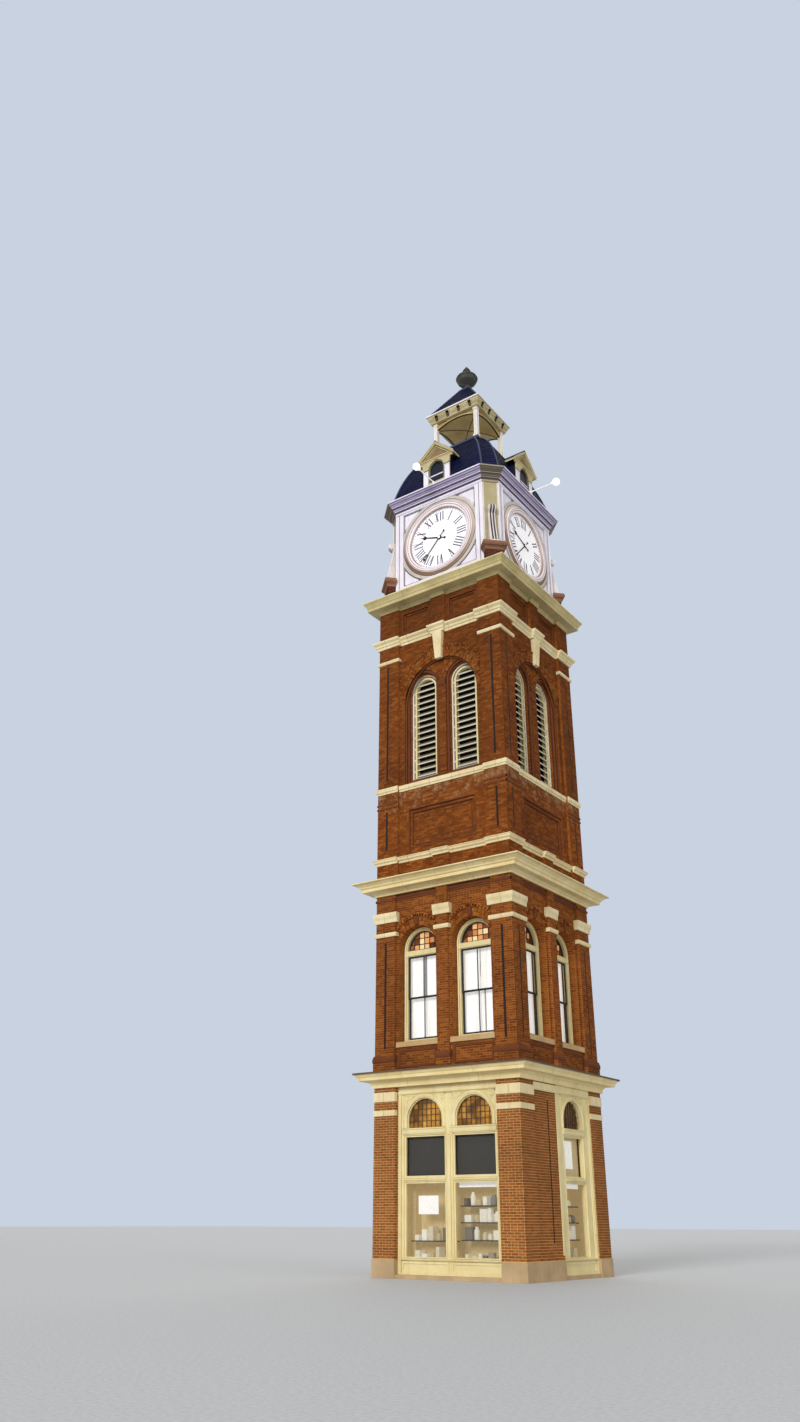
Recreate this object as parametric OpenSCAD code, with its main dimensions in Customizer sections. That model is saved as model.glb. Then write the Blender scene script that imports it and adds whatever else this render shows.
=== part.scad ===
// Clock tower: a square brick corner tower with a clock stage, a domed roof and an open lantern.
// The front faces -Y, the right face +X. Z = 0 is the ground, and the tower's axis is the Z axis.

/* [Brick body] */
// Width of the tower across its pilaster faces
shaft_w = 5000; // [4700:50:5400]
// Thickness of the brick walls, at the pilasters
wall_t = 650; // [600:10:750]
// How far the wall lies behind the faces of its pilasters
set_back = 100; // [70:10:130]
// Width of the corner pilasters on the upper storey
upper_pilaster_w = 720; // [640:10:760]
// Width of the corner pilasters on the shaft
shaft_pilaster_w = 820; // [740:10:900]
// Width of the upright slot in each pilaster
slot_w = 80; // [60:5:110]
// Depth of the upright slots and of the sunk brick panels' edges
slot_d = 110; // [80:10:140]
// Distance from the tower's corner to the middle of a slot
slot_inset = 370; // [340:5:400]

/* [Storey heights] */
// Height of the stone plinth
plinth_h = 470; // [400:10:520]
// Height of the ground storey, up to the first cornice
ground_h = 5040; // [4960:20:5300]
// Height of the first cornice
first_cornice_h = 420; // [360:10:480]
// Height of the upper storey, between the two lower cornices
upper_h = 5460; // [5300:20:5700]
// Height of the main cornice
main_cornice_h = 410; // [360:10:480]
// Height of the plain brick strip over the main cornice
strip_h = 630; // [500:10:760]
// Height of the lower stone band
lower_band_h = 200; // [160:10:240]
// Height of the panelled stage under the belfry
panel_stage_h = 2280; // [2100:20:2500]
// Height of the sill band under the belfry openings
sill_band_h = 220; // [180:10:260]
// Height of the belfry, from the sill band to the upper stone band
belfry_h = 5360; // [5200:20:5600]
// Height of the upper stone band
entablature_h = 300; // [250:10:350]
// Height of the brick frieze
frieze_h = 1190; // [1100:10:1300]
// Height of the big cornice
big_cornice_h = 460; // [400:10:520]
// Height of the clock stage's cornice
clock_cornice_h = 440; // [380:10:500]
// Height of the dome up to the lantern's floor
dome_h = 2820; // [2700:10:3000]

/* [Ground storey] */
// Width of the brick piers at the ends of the wide shop windows
pier_w = 760; // [700:10:820]
// Length of the blind brick wall on a side face, from the corner
blind_wall_w = 2110; // [2000:10:2200]
// Width of the brick pier at the other end of a side face
side_pier_w = 740; // [700:10:780]
// How far the blind wall's panel lies behind its corner pier
panel_set_back = 50; // [30:5:80]
// Height of the kerb stones under the shop windows
kerb_h = 100; // [60:10:150]
// Thickness of the shop window frames
shop_frame_t = 150; // [120:10:180]
// Depth of the wide shop windows behind the brick face
wide_recess = 220; // [180:10:260]
// Depth of the narrow shop windows behind the brick face
narrow_recess = 80; // [70:10:120]
// Width of one light in a wide shop window
wide_light_w = 1430; // [1380:10:1460]
// Distance between the middles of a wide shop window's two lights
wide_light_pitch = 1680; // [1640:10:1700]
// Width of the light in a narrow shop window
narrow_light_w = 1230; // [1000:10:1400]
// Width of the arched opening over each light
lunette_w = 1240; // [1160:10:1300]
// Depth of the stone courses' bed in the brick piers
stone_bed = 110; // [90:5:130]
// How far the stone courses stand proud of the brick
stone_proud = 25; // [15:5:40]

/* [Upper windows] */
// Width of an upper window's brick opening
upper_win_w = 1380; // [1300:10:1420]
// Distance of an upper window's middle from the wall's middle
upper_win_x = 980; // [960:5:1000]
// Height of an upper window's foot over the first cornice
upper_win_foot = 870; // [800:10:950]
// Height of an upper window's straight sides
upper_win_side = 2820; // [2700:10:2900]
// Width of the wooden casing round an upper window
upper_casing_w = 120; // [100:10:160]
// Depth of the casing's face behind the pilaster faces
upper_recess = 400; // [360:10:430]
// Thickness of the window frames
frame_t = 120; // [90:10:150]
// Width of the pilaster between the two upper windows
mid_pilaster_w = 400; // [340:10:420]
// Height of the pilasters' feet over the first cornice
foot_h = 470; // [400:10:540]
// How far the pilasters' feet stand proud
foot_proud = 40; // [25:5:50]

/* [Belfry openings] */
// Width of a belfry opening
belfry_win_w = 1080; // [980:10:1120]
// Distance of a belfry opening's middle from the wall's middle
belfry_win_x = 810; // [790:5:830]
// Height of a belfry opening's foot over the sill band
belfry_win_foot = 200; // [150:10:300]
// Height of a belfry opening's straight sides
belfry_win_side = 3340; // [3200:10:3400]
// Radius of the wide blind arch over both openings
blind_arch_r = 1480; // [1460:5:1500]
// Height of the blind arch's springing over the sill band
blind_arch_spring = 2940; // [2800:10:3000]
// Depth of the blind arch's panel
blind_arch_d = 120; // [100:10:140]
// Width of the brick order round a belfry opening
belfry_order_w = 120; // [90:5:125]
// Depth of the brick order round a belfry opening
order_d = 100; // [80:10:120]
// Depth of the louvre frames' face behind the pilaster faces
louvre_recess = 480; // [440:10:510]
// Width of a louvre frame's wooden border
louvre_border = 160; // [120:5:190]
// Number of slats in an opening
slat_count = 16; // [12:1:18]
// Thickness of a slat
slat_t = 28; // [22:2:34]

/* [Clock stage] */
// Width of the clock stage across its faces
clock_w = 4700; // [4600:20:4800]
// Leg of the clock stage's cut corners
clock_chamfer = 440; // [400:10:480]
// Thickness of the clock stage's walls
clock_wall_t = 150; // [120:10:180]
// Height of the dials' centre over the big cornice
dial_centre_h = 2160; // [2120:10:2190]
// Radius of the visible dial
dial_r = 1250; // [1200:10:1280]
// Depth of the dial's face behind the clock stage's faces
dial_recess = 80; // [70:5:110]
// Width of the dial drum's wall
drum_wall = 190; // [160:10:210]
// How far the dial drum stands out from the wall
drum_proud = 60; // [40:5:90]
// Half width of the square sunk panel round a dial
sunk_half = 1590; // [1560:5:1600]
// Height of the clock stage's wall over the sunk panel
clock_head_h = 150; // [120:10:200]
// Depth of the sunk panel
sunk_d = 60; // [40:5:80]
// Length of a minute hand, from its centre
minute_hand_l = 1150; // [1050:10:1200]
// Length of an hour hand, from its centre
hour_hand_l = 930; // [800:10:980]
// Thickness of a hand's plate
hand_t = 10; // [8:1:14]
// Radius of the fixed spindle that the hands turn on
spindle_r = 24; // [18:1:30]
// Minutes shown past nine o'clock
minutes_past_nine = 37; // [0:1:59]

/* [Roof] */
// Width of the dome at its foot
dome_w = 4900; // [4800:20:5000]
// Thickness of the dome's shell
dome_t = 120; // [90:10:150]
// Width of a dormer across its posts
dormer_w = 1160; // [1060:10:1240]
// Height of a dormer's walls over the clock cornice
dormer_wall_h = 1370; // [1300:10:1420]
// Height of a dormer's ridge over the clock cornice
dormer_ridge_h = 2100; // [2000:10:2160]
// Width across the lantern's floor
lantern_w = 2080; // [2040:10:2120]
// Height of the lantern's posts
lantern_post_h = 1480; // [1300:10:1600]
// Width of a lantern post
lantern_post_w = 150; // [130:10:170]
// Height of the lantern's cornice
lantern_cornice_h = 380; // [340:10:420]
// Width across the lantern's eaves
lantern_eaves_w = 2490; // [2440:10:2560]
// Height of the lantern's roof
lantern_roof_h = 1640; // [1500:10:1800]
// Height of the urn finial
finial_h = 1350; // [1250:10:1450]
// Reach of a floodlight's arm from the tower's axis
lamp_reach = 3750; // [3600:10:3850]

/* [Hidden] */

hw = shaft_w / 2;
inner_half = hw - wall_t;
upper_edge = hw - upper_pilaster_w;
shaft_edge = hw - shaft_pilaster_w;
slot_x = hw - slot_inset;
// Longer than any piece, for cutting tools
far = 8 * shaft_w;
// How far a cutting tool runs past the face that it cuts
eps = 20;

z_first = ground_h;
z_first_top = z_first + first_cornice_h;
z_main = z_first_top + upper_h;
z_main_top = z_main + main_cornice_h;
z_band = z_main_top + strip_h;
z_band_top = z_band + lower_band_h;
z_sill = z_band_top + panel_stage_h;
z_sill_top = z_sill + sill_band_h;
z_entab = z_sill_top + belfry_h;
z_entab_top = z_entab + entablature_h;
z_big = z_entab_top + frieze_h;
z_big_top = z_big + big_cornice_h;
clock_h = dial_centre_h + sunk_half + clock_head_h;
z_clock_top = z_big_top + clock_h;
z_clock_cornice_top = z_clock_top + clock_cornice_h;
z_lantern = z_clock_cornice_top + dome_h;
floor_t = 300;
ground_floor_t = 150;
lantern_floor_t = 120;
z_post = z_lantern + lantern_floor_t;
z_post_top = z_post + lantern_post_h;
z_eaves = z_post_top + lantern_cornice_h;
z_roof_top = z_eaves + lantern_roof_h;

brick = "#a8502a";
stone = "#e3c995";
trim = "#efe0b4";
white = "#f1ecf6";
slate = "#1f2648";

// Turns its children from the front face to face i, counted anticlockwise from above
module on_side(i) {
    rotate([0, 0, 90 * i]) children();
}

module each_side() {
    for (i = [0:3]) on_side(i) children();
}

// A box by its lowest and highest corners
module span(a, b) {
    translate(a) cube(b - a);
}

// The front quarter of the tower's plan, between its two diagonals
module front_quarter() {
    linear_extrude(far) polygon([[0, 0], [far, -far], [-far, -far]]);
}

// A moulding along the front face from x0 to x1: pts are [distance from the axis, height]
module run(pts, x0, x1) {
    translate([x0, 0, 0])
        rotate([90, 0, 90])
            linear_extrude(x1 - x0) polygon([for (p = pts) [-p[0], p[1]]]);
}

// A moulding all round the tower with mitred corners
module ring(pts) {
    each_side() intersection() {
        run(pts, -far, far);
        front_quarter();
    }
}

// An outer moulding line closed at its back by an upright line
function closed(line, back) =
    concat([[back, line[0][1]]], line, [[back, line[len(line) - 1][1]]]);

function shifted(line, d) = [for (p = line) [p[0] + d, p[1]]];

// A band that steps back with the wall between its pilasters, and reaches in to the distance back
module stepped_ring(line, edge, back = hw) {
    each_side() {
        for (side = [0, 1]) mirror([side, 0, 0]) intersection() {
            run(closed(line, back), edge, far);
            front_quarter();
        }
        run(closed(shifted(line, -set_back), min(back, hw - set_back)), -edge, edge);
    }
}

// An upright prism of the front face's arched opening: w wide, from z0 up to a round head on z1,
// between the distances d0 and d1 from the tower's axis
module arch_prism(x, w, z0, z1, d0, d1) {
    span([x - w / 2, -d1, z0], [x + w / 2, -d0, z1]);
    intersection() {
        translate([x, -d0, z1]) rotate([90, 0, 0]) cylinder(r = w / 2, h = d1 - d0, $fn = 64);
        span([x - w, -d1 - eps, z0], [x + w, eps - d0, z1 + w]);
    }
}

// Its children twice, x to either side of the middle
module both(x) {
    for (side = [-1, 1]) translate([side * x, 0, 0]) children();
}

// Floors
module slab(z, t) {
    span([-inner_half, -inner_half, z - t], [inner_half, inner_half, z]);
}

// The ground floor runs into the bays of the shop windows, up to their frames
module ground_floor() {
    color("#8d8a84") {
        slab(ground_floor_t, ground_floor_t);
        for (i = [0, 2]) on_side(i)
            span([pier_w - hw, wide_recess + shop_frame_t - hw, 0], [hw - pier_w, 0, ground_floor_t]);
        for (i = [1, 3]) on_side(i)
            span([narrow_x0, narrow_recess + shop_frame_t - hw, 0], [narrow_x1, 0, ground_floor_t]);
    }
}

module upper_floor() {
    color("#8a6a48") slab(z_first_top, floor_t);
}

module belfry_floor() {
    color("#8a6a48") slab(z_sill, floor_t);
}

module clock_floor() {
    color("#8a6a48") slab(z_big_top, floor_t);
}

// Ground storey: an L of masonry at a corner, with a leg a along the front and b along the side
module corner_l(a, b, z0, z1, out, t) {
    outer = hw + out;
    span([hw - a, -outer, z0], [outer, t - hw, z1]);
    span([hw - t, -outer, z0], [outer, b - hw, z1]);
}

// The near corner and the next one, then both again on the far side
module pier_pair(z0, z1, out, t) {
    for (turn = [0, 180]) rotate([0, 0, turn]) {
        corner_l(pier_w, blind_wall_w, z0, z1, out, t);
        rotate([0, 0, 90]) corner_l(side_pier_w, pier_w, z0, z1, out, t);
    }
}

plinth_proud = 30;
module plinth_stones() {
    color(stone) pier_pair(0, plinth_h, plinth_proud, wall_t);
}

// The two stone courses, by their distance under the first cornice
low_course_drop = 640;
low_course_h = 150;
high_course_drop = 130;
high_course_h = 265;
low_course = [ground_h - low_course_drop - low_course_h, ground_h - low_course_drop];
high_course = [ground_h - high_course_drop - high_course_h, ground_h - high_course_drop];
// The stone courses wrap the corner piers, and end where the blind wall's panel starts
module stone_courses(out) {
    for (z = [low_course, high_course], turn = [0, 180]) rotate([0, 0, turn]) {
        corner_l(pier_w, pier_w, z[0], z[1], out, stone_bed);
        rotate([0, 0, 90]) corner_l(side_pier_w, pier_w, z[0], z[1], out, stone_bed);
    }
}

blind_slot_x = 850;
blind_slot_foot = 900;
module corner_piers() {
    color(brick) difference() {
        pier_pair(plinth_h, z_first, 0, wall_t);
        stone_courses(eps);
        for (turn = [90, 270]) rotate([0, 0, turn]) {
            span([pier_w - hw, -hw - eps, plinth_h + 130],
                [blind_wall_w - hw + eps, panel_set_back - hw, high_course[1]]);
            span([-blind_slot_x - slot_w / 2, -hw - eps, blind_slot_foot],
                [-blind_slot_x + slot_w / 2, slot_d + panel_set_back - hw, low_course[1] + 200]);
        }
    }
}

module pier_stone_courses() {
    color(stone) stone_courses(stone_proud);
}

shop_sill = 500;
rail_drop = 2470;
rail_h = 110;
shop_rail = [ground_h - rail_drop - rail_h, ground_h - rail_drop];
transom_drop = 1140;
shop_transom_h = 200;
shop_transom = [ground_h - transom_drop - shop_transom_h, ground_h - transom_drop];
lunette_drop = 940;
lunette_spring = ground_h - lunette_drop;
// A shop window frame filling x0 to x1, with lights centred on the places in lights
module shopfront(x0, x1, lights, light_w, recess) {
    face = hw - recess;
    back = face - shop_frame_t;
    difference() {
        span([x0, -face, kerb_h], [x1, -back, z_first]);
        for (x = lights) {
            for (z = [[shop_sill, shop_rail[0]], [shop_rail[1], shop_transom[0]]])
                span([x - light_w / 2, -face - eps, z[0]], [x + light_w / 2, eps - back, z[1]]);
            arch_prism(x, min(lunette_w, light_w - 50), shop_transom[1], lunette_spring,
                back - eps, face + eps);
        }
    }
}

wide_lights = [-wide_light_pitch / 2, wide_light_pitch / 2];
narrow_x0 = blind_wall_w - hw;
narrow_x1 = hw - side_pier_w;
narrow_light = (narrow_x0 + narrow_x1) / 2;
module shopfronts_wide() {
    color(trim) for (i = [0, 2]) on_side(i)
        shopfront(pier_w - hw, hw - pier_w, wide_lights, wide_light_w, wide_recess);
}

module shopfronts_narrow() {
    color(trim) for (i = [1, 3]) on_side(i)
        shopfront(narrow_x0, narrow_x1, [narrow_light], narrow_light_w, narrow_recess);
}

module shop_kerbs() {
    color(stone) {
        for (i = [0, 2]) on_side(i)
            span([pier_w - hw, -hw, 0], [hw - pier_w, wide_recess + shop_frame_t - hw, kerb_h]);
        for (i = [1, 3]) on_side(i)
            span([narrow_x0, -hw, 0], [narrow_x1, narrow_recess + shop_frame_t - hw, kerb_h]);
    }
}

glass_t = 12;
glass_lap = 60;
// One sheet of glass fixed to the back of a shop window frame
module shop_sheet(x0, x1, recess) {
    back = hw - recess - shop_frame_t;
    span([x0, -back, shop_sill - glass_lap], [x1, glass_t - back, z_first - glass_lap]);
}

module shop_glass() {
    wide_edge = wide_light_pitch / 2 + wide_light_w / 2 + glass_lap;
    color([0.75, 0.85, 0.9, 0.5]) {
        for (i = [0, 2]) on_side(i) shop_sheet(-wide_edge, wide_edge, wide_recess);
        for (i = [1, 3]) on_side(i)
            shop_sheet(narrow_light - narrow_light_w / 2 - glass_lap,
                narrow_light + narrow_light_w / 2 + glass_lap, narrow_recess);
    }
}

// Cornices of the brick body, each an outer line from its foot to its top
function first_cornice_line() = let (z = z_first, h = first_cornice_h) [
    [hw + 60, z], [hw + 90, z + 0.3 * h], [hw + 130, z + 0.36 * h], [hw + 150, z + 0.45 * h],
    [hw + 370, z + 0.48 * h], [hw + 375, z + 0.68 * h], [hw + 400, z + 0.72 * h],
    [hw + 425, z + 0.8 * h], [hw + 470, z + 0.95 * h], [hw + 470, z + h]];

module first_cornice() {
    color(trim) ring(closed(first_cornice_line(), hw));
}

function main_cornice_line() = let (z = z_main, h = main_cornice_h) [
    [hw + 50, z], [hw + 60, z + 0.12 * h], [hw + 150, z + 0.28 * h], [hw + 350, z + 0.32 * h],
    [hw + 355, z + 0.55 * h], [hw + 400, z + 0.6 * h], [hw + 430, z + 0.72 * h],
    [hw + 520, z + 0.88 * h], [hw + 585, z + 0.92 * h], [hw + 585, z + h]];

module main_cornice() {
    color(trim) ring(closed(main_cornice_line(), hw));
}

// Upper storey
z_win = z_first_top + upper_win_foot;
z_win_spring = z_win + upper_win_side;
upper_slot = [z_first_top + 700, z_main - 1520];
win_sill_h = 150;
win_sill_proud = 70;
win_sill_w = upper_win_w + 140;
win_sill_back = hw - upper_recess;

module sill_block(out) {
    face = hw - set_back + out;
    span([-win_sill_w / 2, -face, z_win - win_sill_h], [win_sill_w / 2, -win_sill_back, z_win]);
}

// A pilaster's foot from x0 to x1, mitred where it meets the tower's corner
module pilaster_foot(x0, x1) {
    intersection() {
        span([x0 - foot_proud, -hw - foot_proud, first_cornice_h],
            [x1 + foot_proud, eps + set_back - hw, first_cornice_h + foot_h]);
        front_quarter();
    }
}

module upper_wall() {
    color(brick) difference() {
        union() {
            linear_extrude(z_main_top - z_first) polygon([[-hw, -hw], [-upper_edge, -hw],
                [-upper_edge, set_back - hw], [-mid_pilaster_w / 2, set_back - hw],
                [-mid_pilaster_w / 2, -hw], [mid_pilaster_w / 2, -hw],
                [mid_pilaster_w / 2, set_back - hw], [upper_edge, set_back - hw], [upper_edge, -hw],
                [hw, -hw], [inner_half, -inner_half], [-inner_half, -inner_half]]);
            for (z = [[0, first_cornice_h], [z_main - z_first, z_main_top - z_first]])
                span([-upper_edge, -hw, z[0]], [upper_edge, eps + set_back - hw, z[1]]);
            pilaster_foot(-mid_pilaster_w / 2, mid_pilaster_w / 2);
            for (side = [0, 1]) mirror([side, 0, 0]) pilaster_foot(upper_edge, hw);
        }
        translate([0, 0, -z_first]) {
            both(upper_win_x) {
                arch_prism(0, upper_win_w, z_win, z_win_spring, 0, hw + eps);
                sill_block(eps + set_back);
            }
            both(slot_x) span([-slot_w / 2, -hw - eps, upper_slot[0]],
                [slot_w / 2, slot_d - hw, upper_slot[1]]);
        }
    }
}

module upper_wall_front() {
    translate([0, 0, z_first]) on_side(0) upper_wall();
}

module upper_wall_right() {
    translate([0, 0, z_first]) on_side(1) upper_wall();
}

module upper_wall_back() {
    translate([0, 0, z_first]) on_side(2) upper_wall();
}

module upper_wall_left() {
    translate([0, 0, z_first]) on_side(3) upper_wall();
}

transom_h = 180;
fan_drop = 20;
sash_lift = 90;
upper_light_w = upper_win_w - 2 * upper_casing_w;
// The casing fills the brick opening; its lights are the fanlight and the two sashes
module upper_frame() {
    face = hw - upper_recess;
    back = face - frame_t;
    difference() {
        arch_prism(0, upper_win_w, z_win, z_win_spring, back, face);
        arch_prism(0, upper_light_w, z_win_spring - fan_drop, z_win_spring, back - eps, face + eps);
        span([-upper_light_w / 2, -face - eps, z_win + sash_lift],
            [upper_light_w / 2, eps - back, z_win_spring - fan_drop - transom_h]);
    }
}

module upper_window_frames() {
    color(trim) each_side() both(upper_win_x) upper_frame();
}

module upper_glass() {
    back = hw - upper_recess - frame_t;
    color([0.75, 0.85, 0.9, 0.5]) each_side() both(upper_win_x)
        arch_prism(0, upper_light_w + glass_lap, z_win + 30, z_win_spring, back - glass_t, back);
}

module upper_window_sills() {
    color(stone) each_side() both(upper_win_x) sill_block(win_sill_proud);
}

// Stone blocks on the pilasters: a corner pair that wraps the corner, and one in the middle
capital_over = 110;
function capital_line(z, h) = [[hw + 45, z], [hw + 50, z + 0.35 * h], [hw + 90, z + 0.65 * h],
    [hw + 90, z + h]];
function impost_line(z, h) = [[hw + 40, z], [hw + 60, z + 0.4 * h], [hw + 60, z + h]];

module corner_blocks(line, edge, over) {
    each_side() intersection() {
        for (side = [0, 1]) mirror([side, 0, 0]) {
            run(closed(line, hw), edge, far);
            run(closed(line, hw - set_back), edge - over, edge);
        }
        front_quarter();
    }
}

module middle_blocks(line, half, over) {
    each_side() {
        run(closed(line, hw), -half, half);
        for (side = [0, 1]) mirror([side, 0, 0])
            run(closed(line, hw - set_back), half, half + over);
    }
}

capital_drop = 890;
z_capital = z_main - capital_drop;
capital_h = 310;
impost_drop = 1340;
z_impost = z_main - impost_drop;
impost_h = 120;
module pilaster_capitals() {
    color(stone) {
        corner_blocks(capital_line(z_capital, capital_h), upper_edge, capital_over);
        middle_blocks(capital_line(z_capital, capital_h), mid_pilaster_w / 2, capital_over);
        corner_blocks(impost_line(z_impost, impost_h), upper_edge, capital_over - 30);
        middle_blocks(impost_line(z_impost, impost_h), mid_pilaster_w / 2, capital_over - 30);
    }
}

// Shaft: the panelled stage, the belfry and the frieze in one wall a side
panel_half = 1180;
base_slot = [z_band_top + 280, z_sill - 640];
belfry_slot = [z_sill_top + 260, z_entab - 760];
z_opening = z_sill_top + belfry_win_foot;
z_opening_spring = z_opening + belfry_win_side;
mid_strip_w = 600;
frieze_margin = 130;
louvre_face = hw - louvre_recess;

module sunk_panel(x0, x1, z0, z1, margin, plane) {
    span([x0, -plane - eps, z0], [x1, 50 - plane, z1]);
    span([x0 + margin, -plane - eps, z0 + margin], [x1 - margin, 90 - plane, z1 - margin]);
}

module shaft_wall_cuts() {
    wall_face = hw - set_back;
    arch_face = wall_face - blind_arch_d;
    sunk_panel(-panel_half - 110, panel_half + 110, z_band_top + 240, z_sill - 700, 110, wall_face);
    arch_prism(0, 2 * blind_arch_r, z_sill_top, z_sill_top + blind_arch_spring, arch_face, hw + eps);
    both(belfry_win_x) {
        arch_prism(0, belfry_win_w + 2 * belfry_order_w, z_opening - 60, z_opening_spring,
            arch_face - order_d, hw);
        arch_prism(0, belfry_win_w, z_opening, z_opening_spring, 0, hw);
    }
    both(slot_x) {
        span([-slot_w / 2, -hw - eps, base_slot[0]], [slot_w / 2, slot_d - hw, base_slot[1]]);
        span([-slot_w / 2, -hw - eps, belfry_slot[0]], [slot_w / 2, slot_d - hw, belfry_slot[1]]);
    }
    for (side = [0, 1]) mirror([side, 0, 0])
        sunk_panel(mid_strip_w / 2 + frieze_margin, shaft_edge - frieze_margin,
            z_entab_top + 200, z_big - 200, 90, wall_face);
}

module shaft_wall() {
    color(brick) difference() {
        union() {
            translate([0, 0, z_main_top]) linear_extrude(z_big - z_main_top)
                polygon([[-hw, -hw], [-shaft_edge, -hw], [-shaft_edge, set_back - hw],
                    [shaft_edge, set_back - hw], [shaft_edge, -hw], [hw, -hw],
                    [inner_half, -inner_half], [-inner_half, -inner_half]]);
            for (z = [[z_main_top, z_band], [z_entab_top, z_big]])
                span([-mid_strip_w / 2, -hw, z[0]], [mid_strip_w / 2, eps + set_back - hw, z[1]]);
        }
        shaft_wall_cuts();
    }
}

module shaft_wall_front() {
    on_side(0) shaft_wall();
}

module shaft_wall_right() {
    on_side(1) shaft_wall();
}

module shaft_wall_back() {
    on_side(2) shaft_wall();
}

module shaft_wall_left() {
    on_side(3) shaft_wall();
}

function lower_band_line() = let (z = z_band, h = lower_band_h) [
    [hw + 30, z], [hw + 40, z + 0.3 * h], [hw + 90, z + 0.5 * h], [hw + 100, z + 0.75 * h],
    [hw + 125, z + 0.85 * h], [hw + 125, z + 0.95 * h], [hw + 60, z + h]];

// The middle block stands over the strip's middle pilaster
band_over = 20;
module lower_stone_band() {
    half = mid_strip_w / 2 + band_over;
    color(stone) {
        stepped_ring(lower_band_line(), shaft_edge);
        each_side() run(closed(lower_band_line(), hw - set_back), -half, half);
    }
}

function sill_band_line() = let (z = z_sill, h = sill_band_h) [
    [hw + 20, z], [hw + 30, z + 0.25 * h], [hw + 60, z + 0.35 * h], [hw + 60, z + 0.9 * h],
    [hw + 30, z + h]];

module sill_stone_band() {
    color(stone) stepped_ring(sill_band_line(), shaft_edge);
}

// A louvre: an arched wooden frame with slanting slats let into its sides
module louvre() {
    light_w = belfry_win_w - 2 * louvre_border;
    back = louvre_face - frame_t;
    z0 = z_opening + 100;
    pitch = (z_opening_spring + light_w / 2 - z0) / slat_count;
    difference() {
        arch_prism(0, belfry_win_w, z_opening, z_opening_spring, back, louvre_face);
        arch_prism(0, light_w, z0, z_opening_spring, back - eps, louvre_face + eps);
    }
    intersection() {
        arch_prism(0, light_w + 40, z0 - 20, z_opening_spring, back, louvre_face);
        for (n = [0:slat_count - 1])
            translate([0, -(louvre_face + back) / 2, z0 + (n + 0.5) * pitch])
                rotate([40, 0, 0]) cube([belfry_win_w, 1.35 * frame_t, slat_t], center = true);
    }
}

module belfry_louvres() {
    color(trim) each_side() both(belfry_win_x) louvre();
}

module belfry_imposts() {
    color(stone) corner_blocks(impost_line(z_entab - 630, 110), shaft_edge, 50);
}

// The upper stone band: heavier blocks on the corners and a keyed block in the middle
function entablature_line(d) = let (z = z_entab, h = entablature_h) [
    [hw + 20 + d, z], [hw + 30 + d, z + 0.25 * h], [hw + 70 + d, z + 0.35 * h],
    [hw + 80 + d, z + 0.55 * h], [hw + 150 + d, z + 0.75 * h], [hw + 160 + d, z + 0.8 * h],
    [hw + 160 + d, z + h]];

key_half = 360;
key_h = 1000;
block_over = 90;
module key_block() {
    intersection() {
        run(closed(entablature_line(40), hw - set_back), -key_half, key_half);
        rotate([90, 0, 0]) linear_extrude(far)
            polygon([[-key_half + 100, z_entab], [key_half - 100, z_entab],
                [key_half, z_entab_top], [-key_half, z_entab_top]]);
    }
    intersection() {
        run([[hw - set_back, z_entab - key_h], [hw + 20, z_entab - key_h], [hw + 70, z_entab],
            [hw - set_back, z_entab]], -key_half, key_half);
        rotate([90, 0, 0]) linear_extrude(far)
            polygon([[-120, z_entab - key_h], [120, z_entab - key_h], [190, z_entab], [-190, z_entab]]);
    }
}

module upper_stone_band() {
    color(stone) {
        stepped_ring(entablature_line(0), shaft_edge - block_over);
        corner_blocks(entablature_line(40), shaft_edge, block_over);
        each_side() key_block();
    }
}

// The big cornice bears on the tops of the walls; its bed moulding steps with the frieze
function bed_line() = let (z = z_big, h = big_cornice_h) [
    [hw + 20, z], [hw + 30, z + 0.1 * h], [hw + 90, z + 0.2 * h], [hw + 90, z + 0.24 * h]];
function big_cornice_line() = let (z = z_big, h = big_cornice_h) [
    [hw + 90, z + 0.24 * h], [hw + 340, z + 0.26 * h], [hw + 345, z + 0.52 * h],
    [hw + 370, z + 0.56 * h], [hw + 390, z + 0.68 * h], [hw + 440, z + 0.84 * h],
    [hw + 460, z + 0.88 * h], [hw + 460, z + h]];

module big_cornice() {
    color(trim) {
        ring(closed(big_cornice_line(), inner_half));
        stepped_ring(bed_line(), shaft_edge, inner_half);
        each_side() run(closed(bed_line(), hw - set_back), -mid_strip_w / 2, mid_strip_w / 2);
    }
}

// Clock stage: an eight-sided case with four broad faces and four cut corners
cw = clock_w / 2;
// Leg that keeps the cut corners parallel when the eight-sided plan grows by d
function leg_at(half) = clock_chamfer + (half - cw) * (2 - sqrt(2));
function octagon(half, leg) = [[leg - half, -half], [half - leg, -half], [half, leg - half],
    [half, half - leg], [half - leg, half], [leg - half, half], [-half, half - leg], [-half, leg - half]];
ci = cw - clock_wall_t;
z_dial = z_big_top + dial_centre_h;
drum_r = dial_r + drum_wall;

module clock_wall() {
    a = cw - leg_at(cw);
    b = ci - leg_at(ci);
    difference() {
        translate([0, 0, z_big_top]) linear_extrude(clock_h)
            polygon([[-a, -cw], [a, -cw], [b, -ci], [-b, -ci]]);
        span([-sunk_half, -cw - eps, z_dial - sunk_half],
            [sunk_half, sunk_d - cw, z_dial + sunk_half]);
        translate([0, 0, z_dial]) rotate([90, 0, 0]) cylinder(r = dial_r, h = far, $fn = 96);
    }
}

module clock_walls() {
    color(white) each_side() clock_wall();
}

module clock_corner_panels() {
    a = cw - leg_at(cw);
    b = ci - leg_at(ci);
    color(trim) each_side() translate([0, 0, z_big_top]) linear_extrude(clock_h)
        polygon([[a, -cw], [cw, -a], [ci, -b], [b, -ci]]);
}

// Turns its children so that they face out of the dial on face i, with the origin on its centre
module at_dial(i, d) {
    on_side(i) translate([0, -d, z_dial]) rotate([90, 0, 0]) children();
}

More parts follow.
